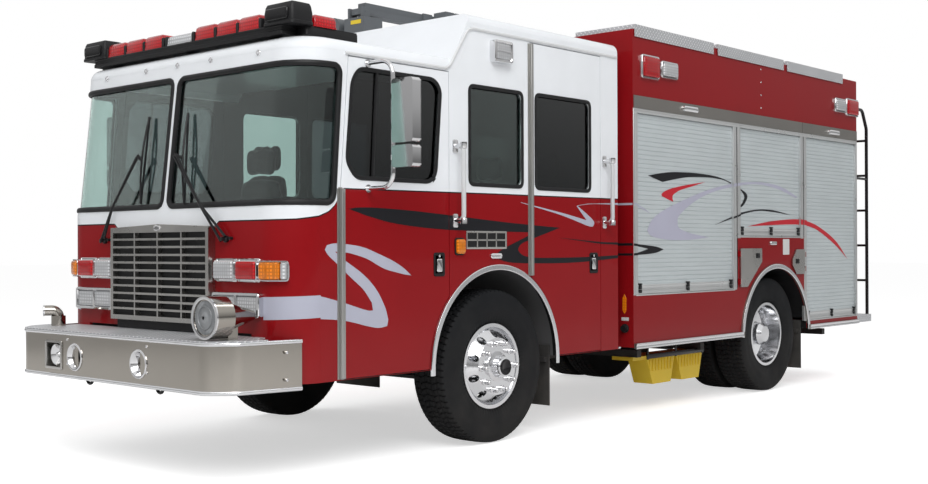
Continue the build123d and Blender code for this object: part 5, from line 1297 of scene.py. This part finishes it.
# ---- Light tower ---------------------------------------------------------------------------------
# Grey powder-coated folding mast: a base on the roof, a boom, and a head of floodlamps.
tower_grey = finish_of("tower_grey", (0.115, 0.125, 0.135), 0.4, 0.55, scale=420, depth=0.25)
for node in ("tower_base", "tower_boom", "tower_head"):
    dress(node, tower_grey)
label_yellow = finish_of("label_yellow", (0.80, 0.58, 0.03), 0.3, 0.45, scale=200, depth=0.05)
build("tower_blank_label", "chassis", label_yellow,
      [stacked(0.110, 0.030, 0.003, [(0, -0.001), (0, 0.0012)], ahead_of(0.02, -2.158, 3.075))])

# ---- Body shell, band and side trim --------------------------------------------------------------
# Red-painted aluminium compartments under a grey stainless band, polished rub rails along the bottom
# edge and a polished ring round the rear wheel.
for label, side in sides:
    dress(f"body_{label}", red_paint)
band_grey = finish_of("band_grey", (0.30, 0.285, 0.265), 0.28, 0.42, scale=200, depth=0.08, metallic=0.85)
dress("body_trim", band_grey)
for label, side in sides:
    lip = [(-0.021, -0.016), (-0.021, 0.001), (-0.015, 0.0045), (0.015, 0.0045), (0.021, 0.001),
           (0.021, -0.016)]
    arch_ring(f"rear_arch_ring_{label}", side, body_side + 0.016, rear_arch, 0.662, (3, 178), lip)
    rub = [(-0.022, -0.002), (-0.022, 0.006), (-0.016, 0.0085), (-0.008, 0.004), (0.008, 0.004),
           (0.016, 0.0085), (0.022, 0.006),
           (0.022, -0.002)]
    runs = [(body_front + 0.004, 1.437), (2.782, 3.920)]
    build(f"rub_rail_{label}", "chassis", polished_alloy,
          [swept([(side * (body_side + 0.022), y0, 0.5735), (side * (body_side + 0.022), y1, 0.5735)],
                 rub, up=(side, 0, 0)) for y0, y1 in runs], bevel=0.001)
    screws = [turned([(0.0, 0.0), (0.008, 0.0), (0.007, 0.0025), (0.0, 0.0035)], (side * body_side, 1.8265, z),
                     "x", 12, side)
              for z in (2.66, 2.78, 2.90, 3.02)]
    build(f"panel_screws_{label}", "chassis", chrome, screws)
    build(f"band_joint_{label}", "chassis", gloss_black,
          [stacked(0.003, 0.100, 0.001, [(0, 0), (0, 0.0005)],
                   beside(side, body_side + 0.008, 2.6545, 2.5365))])

# ---- Roll-up shutters ----------------------------------------------------------------------------
# Satin aluminium slats that hook into each other and run in side rails, each curtain ending in a
# lift bar held by three black latch clips. The back shutter is the same, over the tailboard.
bays = [(-0.2585, 1.3165, 0.985), (1.4145, 2.6355, 1.462), (2.7335, 3.9105, 0.641)]
bay_top, slat_pitch, slat_face = 2.450, 0.0366, 1.2515
satin_alloy, satin_tree, satin_shader = bare("satin_alloy", 0.25)
stretch = wire(satin_tree, "ShaderNodeMapping", Vector=place_in(satin_tree))
stretch.inputs["Scale"].default_value = (1, 1, 14)
streak = wire(satin_tree, "ShaderNodeTexNoise", Vector=stretch.outputs[0], Scale=2.2, Detail=3.0).outputs["Fac"]
silver = ramp(satin_tree, streak, [(0.3, (0.57, 0.62, 0.635)), (0.7, (0.605, 0.655, 0.67))])
tinted(satin_tree, satin_shader, silver, grained(satin_tree, satin_shader, 240, 0.42, 0.50, 0.02), 1.0, 0.05)
rail_alloy = finish_of("rail_alloy", (0.60, 0.61, 0.61), 0.25, 0.4, scale=240, depth=0.05, metallic=0.75)


def curtain(wide, low, high, put):
    """Slats: a crowned face and a hooked groove repeated up the curtain, drawn straight across it."""
    section = np.array([(0.0, -0.0042), (0.0012, -0.0042), (0.0030, -0.0008), (0.0060, 0.0006),
                        (0.0180, 0.0010), (0.0330, 0.0002),
                        (0.0345, -0.0042)])
    count = int((high - low) / slat_pitch) + 1
    rise = low + (slat_pitch * np.arange(count)[:, None] + section[:, 0]).ravel()
    lift = np.tile(section[:, 1], count)
    keep = rise < high
    rise, lift = np.append(rise[keep], high), np.append(lift[keep], -0.004)
    across = np.array([-wide / 2, wide / 2])
    x, y, z = put(*np.broadcast_arrays(across[None, :], rise[:, None], lift[:, None]))
    return grid(np.stack([x, y, z], axis=-1))


bar_section = [(0, 0.0), (0, 0.012), (0.004, 0.0145), (0.012, 0.0150), (0.020, 0.0105), (0.026, 0.0100)]
rear_opening = (1.070, 2.060)
for label, side in sides:
    faces, rails, bars, clips = [], [], [], []
    for y0, y1, z0 in bays:
        middle, wide = (y0 + y1) / 2, y1 - y0
        faces.append(curtain(wide - 0.004, z0 + 0.070, bay_top - 0.002, beside(side, slat_face, middle, 0.0)))
        bars.append(stacked(wide - 0.036, 0.072, 0.006, bar_section,
                            beside(side, slat_face - 0.001, middle, z0 + 0.042)))
        bars.append(stacked(wide - 0.036, 0.012, 0.004, [(0, 0.0), (0, 0.0165), (0.002, 0.0185)],
                            beside(side, slat_face - 0.001, middle, z0 + 0.010)))
        bars.append(stacked(wide + 0.02, 0.012, 0.002, lid_stack(0.022, edge=0.002),
                            beside(side, slat_face - 0.001, middle, z0 - 0.004)))
        for y in (y0 + 0.055, middle, y1 - 0.055):
            for z, tall in ((z0 + 0.060, 0.034), (z0 + 0.026, 0.028)):
                clips.append(stacked(0.042, tall, 0.005, [(0, 0.0), (0, 0.018), (0.004, 0.021)],
                                     beside(side, slat_face, y, z), arc=3))
            clips.append(stacked(0.030, 0.012, 0.003, [(0, 0.0), (0, 0.026), (0.003, 0.028)],
                                 beside(side, slat_face, y, z0 + 0.084), arc=3))
    spans = [(-0.3035, -0.2435, 0.981), (1.3025, 1.3575, 0.981), (1.3735, 1.4285, 1.446),
             (2.6215, 2.6765, 1.446), (2.6925, 2.7475, 0.637),
             (3.8965, 3.9285, 0.637)]
    for y0, y1, z0 in spans:
        rails.append(stacked(y1 - y0, bay_top + 0.034 - z0, 0.003,
                             [(0, -0.022), (0, 0.0015), (0.002, 0.0035), (0.014, 0.0035), (0.016, 0.002)],
                             beside(side, body_side, (y0 + y1) / 2, (z0 + bay_top + 0.034) / 2), arc=3))
    rails.append(stacked(4.222, 0.036, 0.004,
                         [(0, -0.022), (0, 0.003), (0.004, 0.0055), (0.010, 0.0055), (0.013, 0.003)],
                         beside(side, body_side, 1.811, bay_top + 0.0175), arc=3))
    seams = [stacked(0.016, bay_top - z, 0.002, [(0, 0.0), (0, 0.0015)],
                     beside(side, body_side, y, (bay_top + z) / 2), arc=3)
             for y, z in ((1.3655, 1.0), (2.6845, 1.46))]
    build(f"shutter_slats_{label}", "chassis", satin_alloy, faces, closed=False, sharp=40,
          stands_for=("shutters",))
    build(f"shutter_rails_{label}", "chassis", rail_alloy, rails, stands_for=("shutters",))
    build(f"shutter_lift_bars_{label}", "chassis", rail_alloy, bars, stands_for=("shutters",))
    build(f"shutter_latch_clips_{label}", "chassis", black_plastic, clips,
          stands_for=("shutters",))
    build(f"shutter_seams_{label}", "chassis", gloss_black, seams)
rear_face = 3.9135           # the back shutter's slats stand on this plane


def back(a, b, n):
    """Placer for the back shutter, whose rise is a height."""
    return -a, rear_face + n, b


build("rear_shutter_slats", "chassis", satin_alloy,
      [curtain(0.956, rear_opening[0] + 0.07, rear_opening[1] - 0.002, back)], closed=False, sharp=40,
      stands_for=("shutters",))
build("rear_shutter_bar", "chassis", rail_alloy,
      [stacked(0.940, 0.072, 0.006, bar_section, lambda a, b,
               n: back(a, b + rear_opening[0] + 0.042, n - 0.001))], stands_for=("shutters",))
build("rear_shutter_rails", "chassis", rail_alloy,
      [stacked(0.036, rear_opening[1] - rear_opening[0] + 0.04, 0.003,
               [(0, -0.012), (0, 0.0015), (0.002, 0.0035)],
               lambda a, b, n, s=s: (s * 0.488 + a, body_rear + n, b + sum(rear_opening) / 2), arc=3)
       for s in (-1, 1)]
      + [stacked(1.012, 0.036, 0.004, [(0, -0.012), (0, 0.002), (0.003, 0.004)],
                 lambda a, b, n: (a, body_rear + n, b + rear_opening[1] + 0.012), arc=3)],
      stands_for=("shutters",))
build("rear_shutter_clips", "chassis", black_plastic,
      [stacked(0.042, 0.060, 0.005, [(0, 0.0), (0, 0.0150), (0.004, 0.0158)],
               lambda a, b, n, x=x: (x + a, rear_face + n, b + rear_opening[0] + 0.045), arc=3)
       for x in (-0.43, 0.0, 0.43)],
      stands_for=("shutters",))

# ---- Body lamps, bottle doors and small fittings -------------------------------------------------
# Red and clear warning lamps in chrome bezels, small chrome lights on the band and by the wheel,
# stainless air-bottle doors with black slam latches, and a reflector on the front corner post.
lamp_places = [("red", (1.750, 2.011, 2.733, 2.929)), ("clear", (2.046, 2.297, 2.763, 2.907)),
               ("clear", (5.330, 5.584, 2.752, 2.900)),
               ("red", (5.594, 5.883, 2.735, 2.918))]
for label, side in sides:
    bezels, reds, clears = [], [], []
    for kind, (y0, y1, z0, z1) in lamp_places:
        put = beside(side, body_side, axle_row + (y0 + y1) / 2, (z0 + z1) / 2)
        wide, tall = y1 - y0, z1 - z0
        bezels.append(stacked(wide, tall, 0.022, [(0, 0), (0, 0.020), (0.004, 0.026), (0.014, 0.027),
                                                  (0.018, 0.022), (0.018, 0.004)], put,
                              arc=5, open_ring=True))
        (reds if kind == "red" else clears).append(
            stacked(wide - 0.038, tall - 0.038, 0.012,
                    [(0, 0.0), (0, 0.034), (0.004, 0.039), (0.020, 0.042), (0.045, 0.0425)], put))
    build(f"body_lamp_bezels_{label}", "chassis", chrome, bezels, stands_for=("body_lamps",))
    build(f"body_red_lamps_{label}", "chassis", red_lens, reds, stands_for=("body_lamps",))
    build(f"body_clear_lamps_{label}", "chassis", clear_lens, clears, stands_for=("body_lamps",))
    hoods = [stacked(0.235, 0.052, 0.020,
                     [(0, 0.0), (0, 0.010), (0.004, 0.024), (0.014, 0.030), (0.020, 0.028)],
                     beside(side, body_side + 0.007, axle_row + y, z), arc=5)
             for y, z in ((2.498, 2.539), (5.2975, 2.533))]
    hoods.append(stacked(0.120, 0.038, 0.014, [(0, 0.0), (0, 0.008), (0.004, 0.016), (0.012, 0.018)],
                         beside(side, body_side, axle_row + 4.00, 1.400), arc=5))
    build(f"compartment_lights_{label}", "chassis", chrome, hoods, stands_for=("body_lamps",))
    for door, y, z in (("front", 1.7245, 1.285), ("rear", 2.520, 1.225)):
        dress(f"bottle_door_{door}_{label}", satin_steel)
        build(f"bottle_door_{door}_latch_{label}", f"bottle_door_{door}_{label}", black_plastic,
              [stacked(0.062, 0.046, 0.006,
                       [(0, 0.0), (0, 0.004), (0.003, 0.006), (0.010, 0.006), (0.013, 0.003)],
                       beside(side, body_side + 0.0172, y, z), arc=3),
               stacked(0.030, 0.016, 0.004, [(0, 0.0), (0, 0.006), (0.002, 0.007)],
                       beside(side, body_side + 0.0175, y, z), arc=3)])
    blank = finish_of(f"blank_label_{label}", (0.70, 0.70, 0.69), 0.3, 0.45, scale=120, depth=0.04)
    build(f"blank_label_{label}", "chassis", blank,
          [stacked(0.130, 0.150, 0.008, [(0, 0.0), (0, 0.0012)], beside(side, body_side, 2.315, 1.365))])
    reflector = [(x, y, z) for y in (body_front - 0.0005, body_front - 0.004)
                 for x, z in ((1.185, 0.83), (1.203, 0.86), (1.203, 0.96), (1.185, 0.99), (1.167, 0.96),
                              (1.167, 0.86))]
    build(f"post_reflector_{label}", "chassis", amber_lens,
          [prism([(side * x, y, z) for x, y, z in reflector])], bevel=0.001)
    build(f"post_tag_{label}", "chassis", blank,
          [stacked(0.070, 0.026, 0.003, [(0, 0.0), (0, 0.0015)], ahead_of(side * 1.190, body_front, 0.790))])
    build(f"shore_inlet_{label}", "chassis", black_plastic,
          [turned([(0.0, 0.0), (0.036, 0.0), (0.036, 0.008), (0.028, 0.012), (0.026, 0.034), (0.018, 0.036),
                   (0.0, 0.030)],
                  (side * 1.190, body_front, 0.715), "y", 24, -1)])

# ---- Roof lids, tailboard and hose bed -----------------------------------------------------------
# Lids and tailboard in bright tread plate; the hose bed is lined with smooth sheet.
for label, side in sides:
    for k in (1, 2, 3):
        dress(f"roof_lid_{k}_{label}", tread_plate)
dress("tailboard", tread_plate)
bed_alloy = finish_of("bed_alloy", (0.52, 0.53, 0.54), 0.35, 0.5, scale=160, depth=0.08, metallic=0.8)
dress("hose_bed", bed_alloy)

# ---- Rear ladder, mud flaps and wheel chocks -----------------------------------------------------
# Black powder-coated ladder rails, moulded rubber flaps behind the wheels, and yellow chocks with
# ribbed tops hung in a black rack under the body.
dress("rear_ladder", gloss_black)
flap_rubber = finish_of("flap_rubber", (0.020, 0.020, 0.021), 0.6, 0.85, scale=200, depth=0.3, reach=1.2,
                        amount=0.35)
dress("mud_flaps", flap_rubber)
chock_yellow = finish_of("chock_yellow", (0.80, 0.56, 0.02), 0.35, 0.5, scale=200, depth=0.15, reach=1.0,
                         amount=0.15)
dress("wheel_chocks", chock_yellow)
for label, side in sides:
    ribs = []
    for start in (0.1325, 0.5925):
        middle = start + 0.215
        for k in range(8):
            ribs.append(stacked(0.026, 0.100, 0.005, [(0, -0.002), (0, 0.006), (0.005, 0.009)],
                                beside(side, 1.105, middle - 0.165 + k * 0.047, 0.375), arc=3))
    build(f"chock_ribs_{label}", "chassis", chock_yellow, ribs)
    build(f"chock_rack_{label}", "chassis", gloss_black,
          [stacked(0.920, 0.040, 0.006, lid_stack(0.014, edge=0.003), beside(side, 1.106, 0.5775, 0.452))]
          + [stacked(0.024, 0.110, 0.004, lid_stack(0.012, edge=0.003), beside(side, 1.104, y, 0.480))
             for y in (0.14, 0.5775, 1.015)])

# ---- Swept stripes -------------------------------------------------------------------------------
# Silver, black, red and pale violet reflective tape in long curved sweeps, the same on both sides,
# cut at the door edges so that each length stays on its own panel.
tape_colours = {"silver": (0.46, 0.47, 0.56), "black": (0.011, 0.011, 0.014), "red": (0.56, 0.020, 0.034),
                "violet": (0.47, 0.47, 0.575)}
tapes = {name: finish_of(f"tape_{name}", color, 0.28, 0.40, scale=500, depth=0.03, Specular_IOR_Level=0.2)
         for name, color in tape_colours.items()}


def flow(*strokes, steps=7):
    """Closed outline of strokes: each is a Catmull-Rom curve through its points; strokes meet in corners."""
    whole = []
    for stroke in strokes:
        p = np.asarray(stroke, dtype=float)
        if len(p) < 3:
            whole.append(p)
            continue
        p = np.vstack([2 * p[:1] - p[1:2], p, 2 * p[-1:] - p[-2:-1]])
        t = np.linspace(0, 1, steps, endpoint=False)[:, None, None]
        a, b, c, d = p[:-3], p[1:-2], p[2:-1], p[3:]
        curve = 0.5 * (2 * b + (c - a) * t + (2 * a - 5 * b + 4 * c - d) * t ** 2 + (3 * b - a - 3 * c + d)
                       * t ** 3)
        whole.append(np.vstack([curve.transpose(1, 0, 2).reshape(-1, 2), p[-2:-1]]))
    outline = np.vstack(whole)
    apart = np.linalg.norm(outline - np.roll(outline, 1, 0), axis=1) > 0.0005
    return outline[apart]


silver_top = [(-3.904, 1.106), (-3.672, 1.093), (-3.457, 1.047), (-3.229, .984), (-3.164, .978)]
silver_inner = [(-3.175, 1.029), (-3.248, 1.112), (-3.341, 1.18), (-3.458, 1.268), (-3.537, 1.327),
                (-3.562, 1.36)]
silver_loop = [(-3.546, 1.386), (-3.485, 1.397), (-3.396, 1.393), (-3.251, 1.374), (-3.119, 1.333),
               (-2.985, 1.285), (-2.886, 1.236),
               (-2.822, 1.19)]
silver_back = [(-2.886, 1.198), (-3.062, 1.237), (-3.212, 1.3), (-3.341, 1.333), (-3.413, 1.343),
               (-3.481, 1.347)]
silver_outer = [(-3.413, 1.3), (-3.249, 1.206), (-3.136, 1.109), (-3.061, .998), (-3.031, .915)]
silver_low = [(-3.041, .874), (-3.116, .867), (-3.211, .882), (-3.455, .932), (-3.902, .961)]
cab_stripes = {
    "silver": [flow(silver_top, silver_inner, silver_loop, silver_back, silver_outer, silver_low),
               flow([(-1.696, 1.689), (-1.21, 1.606), (-.879, 1.531), (-.808, 1.537), (-.823, 1.582),
                     (-1.02, 1.685)],
                    [(-.88, 1.702), (-.448, 1.718)], [(-.448, 1.702), (-.816, 1.701), (-1.028, 1.681)],
                    [(-.90, 1.575), (-1.21, 1.625), (-1.696, 1.692)])],
    "black": [flow([(-3.365, 1.608), (-3.288, 1.618), (-3.139, 1.62), (-2.829, 1.609), (-2.413, 1.583),
                    (-1.96, 1.552), (-1.609, 1.532),
                    (-1.236, 1.514)],
                   [(-1.52, 1.442), (-1.671, 1.402), (-1.72, 1.371), (-1.72, 1.34), (-1.645, 1.305),
                    (-1.468, 1.292), (-.933, 1.293),
                    (-.446, 1.305)],
                   [(-.446, 1.284), (-.877, 1.26), (-1.208, 1.251), (-1.595, 1.254), (-1.817, 1.263),
                    (-1.935, 1.287), (-1.96, 1.317),
                    (-1.937, 1.34), (-1.865, 1.37), (-1.72, 1.417), (-1.534, 1.477)],
                   [(-2.28, 1.484), (-2.498, 1.489), (-2.788, 1.506), (-3.025, 1.532), (-3.215, 1.569)]),
              flow([(-1.248, 1.44), (-.721, 1.409), (-.447, 1.405)], [(-.447, 1.386), (-.721, 1.395)])]}
body_stripes = {
    "silver": [flow([(-.3075, 1.708), (-.251, 1.702), (-.028, 1.641)],
                    [(-.12, 1.685), (-.251, 1.718), (-.3075, 1.722)])],
    "black": [flow([(-.3075, 1.398), (-.198, 1.39), (.044, 1.372), (.17, 1.349)],
                   [(.17, 1.349), (.044, 1.32), (-.198, 1.305), (-.3075, 1.300)],
                   [(-.3075, 1.318), (-.198, 1.326)], [(-.06, 1.353), (-.198, 1.371), (-.3075, 1.380)]),
              flow([(-.065, 1.952), (.137, 1.98), (.354, 1.999), (.736, 2.003), (1.056, 1.987), (1.298, 1.945)],
                   [(1.285, 1.935), (1.137, 1.965), (.893, 1.975), (.581, 1.965), (.355, 1.939),
                    (.154, 1.907)]),
              flow([(1.456, 1.898), (1.565, 1.859), (1.587, 1.817), (1.522, 1.751), (1.427, 1.712)],
                   [(1.5, 1.771), (1.534, 1.82), (1.5, 1.861), (1.44, 1.893)]),
              flow([(.997, 1.56), (1.308, 1.639), (1.565, 1.692), (1.835, 1.715), (2.112, 1.711),
                    (2.45, 1.674)],
                   [(2.112, 1.695), (1.835, 1.702), (1.567, 1.676), (1.308, 1.622)])],
    "red": [flow([(.835, 1.932), (.505, 1.892), (.245, 1.848), (.138, 1.803), (.209, 1.773), (.32, 1.747)],
                 [(.308, 1.776), (.32, 1.806), (.43, 1.849), (.62, 1.887)]),
            flow([(1.589, 1.554), (2.018, 1.605), (2.499, 1.634), (2.752, 1.624), (3.066, 1.564),
                  (3.449, 1.423), (3.732, 1.232)],
                 [(3.56, 1.325), (3.337, 1.423), (3.013, 1.535), (2.752, 1.576), (2.501, 1.583),
                  (2.019, 1.571)])],
    "violet": [flow([(2.599, 1.849), (2.303, 1.93), (2.017, 1.964), (1.698, 1.966), (1.306, 1.935),
                     (.894, 1.867), (.505, 1.772),
                     (.174, 1.674), (-.004, 1.593), (-.08, 1.506)],
                    [(-.08, 1.502), (-.003, 1.455), (.247, 1.427), (.584, 1.429), (.896, 1.452)],
                    [(.622, 1.48), (.432, 1.518), (.387, 1.567), (.431, 1.647), (.737, 1.786), (1.139, 1.882),
                     (1.698, 1.946),
                     (2.159, 1.92), (2.549, 1.843)])]}


def tape(name, body, material, outlines, side, x, y0, y1):
    """Flat outlines filled, and cut away outside two planes across the engine."""
    work = bmesh.new()
    for outline in outlines:
        spots, _, faces, *_ = delaunay_2d_cdt([Vector(p) for p in outline.tolist()], [],
                                              [list(range(len(outline)))], 1, 1e-6)
        made_verts = [work.verts.new((side * x, y, z)) for y, z in spots]
        for face in faces:
            work.faces.new([made_verts[i] for i in face])
    for spot, away in ((y0, (0, -1, 0)), (y1, (0, 1, 0))):
        geometry = work.verts[:] + work.edges[:] + work.faces[:]
        bmesh.ops.bisect_plane(work, geom=geometry, plane_co=(0, spot, 0), plane_no=away, clear_outer=True,
                               dist=1e-5)
    if not work.faces:
        work.free()
        return
    work.normal_update()
    wrong = [f for f in work.faces if f.normal.x * side < 0]
    bmesh.ops.reverse_faces(work, faces=wrong)
    mesh = bpy.data.meshes.new(name)
    work.to_mesh(mesh)
    work.free()
    mesh.materials.append(material)
    made = bpy.data.objects.new(name, mesh)
    scene.collection.objects.link(made)
    film = made.modifiers.new("film", "SOLIDIFY")
    film.thickness = 0.0006
    film.offset = 0
    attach(made, body)


tape_lift = 0.0009           # tape over the cab's side
on_post, on_curtain = body_side + 0.0042, slat_face + 0.0016
cab_panels = [("front", "chassis", -3.5975, -3.4325), ("front_door", "front_door", -3.4285, -2.4605),
              ("middle", "chassis", -2.4565, -1.5825),
              ("crew_door", "crew_door", -1.5785, -0.7195), ("back", "chassis", -0.7155, -0.4795)]
body_panels = [("corner_post", on_post, -0.3035, -0.2435), ("first_curtain", on_curtain, -0.2435, 1.3025),
               ("first_post", on_post, 1.3025, 1.3575), ("second_post", on_post, 1.3735, 1.4285),
               ("second_curtain", on_curtain, 1.4285, 2.6215), ("third_post", on_post, 2.6215, 2.6765),
               ("fourth_post", on_post, 2.6925, 2.7475), ("third_curtain", on_curtain, 2.7475, 3.8965)]
for label, side in sides:
    for colour_name, outlines in cab_stripes.items():
        for panel, body, y0, y1 in cab_panels:
            rider = body if body == "chassis" else f"{body}_{label}"
            tape(f"{colour_name}_stripe_{panel}_{label}", rider, tapes[colour_name], outlines, side,
                 cab_side + tape_lift, y0, y1)
    for colour_name, outlines in body_stripes.items():
        for panel, x, y0, y1 in body_panels:
            tape(f"{colour_name}_stripe_{panel}_{label}", "chassis", tapes[colour_name], outlines, side, x, y0,
                 y1)
    turn = np.radians(np.linspace(5, 90, 24))[:, None]
    low_edge, high_edge = 0.941 + 0.012 * turn / turn.max(), 1.078 + 0.009 * turn / turn.max()
    up = low_edge + (high_edge - low_edge) * np.linspace(0, 1, 3)[None, :]
    x = np.broadcast_to(flat_half + (corner_radius + tape_lift) * np.sin(turn), up.shape)
    y = np.broadcast_to(nose + corner_radius - (corner_radius + tape_lift) * np.cos(turn), up.shape)
    wrap, faces = grid(np.stack([side * x, y, up], axis=-1))
    build(f"silver_stripe_corner_{label}", "chassis", tapes["silver"],
          [(wrap, faces if side > 0 else faces[:, ::-1])], closed=False)
    strips = [(1.714, 0.016, "silver"), (1.390, 0.020, "black"), (1.309, 0.018, "black")]
    for height, wide, colour_name in strips:
        build(f"post_stripe_{round(height * 1000)}_{label}", "chassis", tapes[colour_name],
              [stacked(0.150, wide, 0.001, [(0, 0.0), (0, 0.0009)],
                       ahead_of(side * 1.190, body_front, height))])
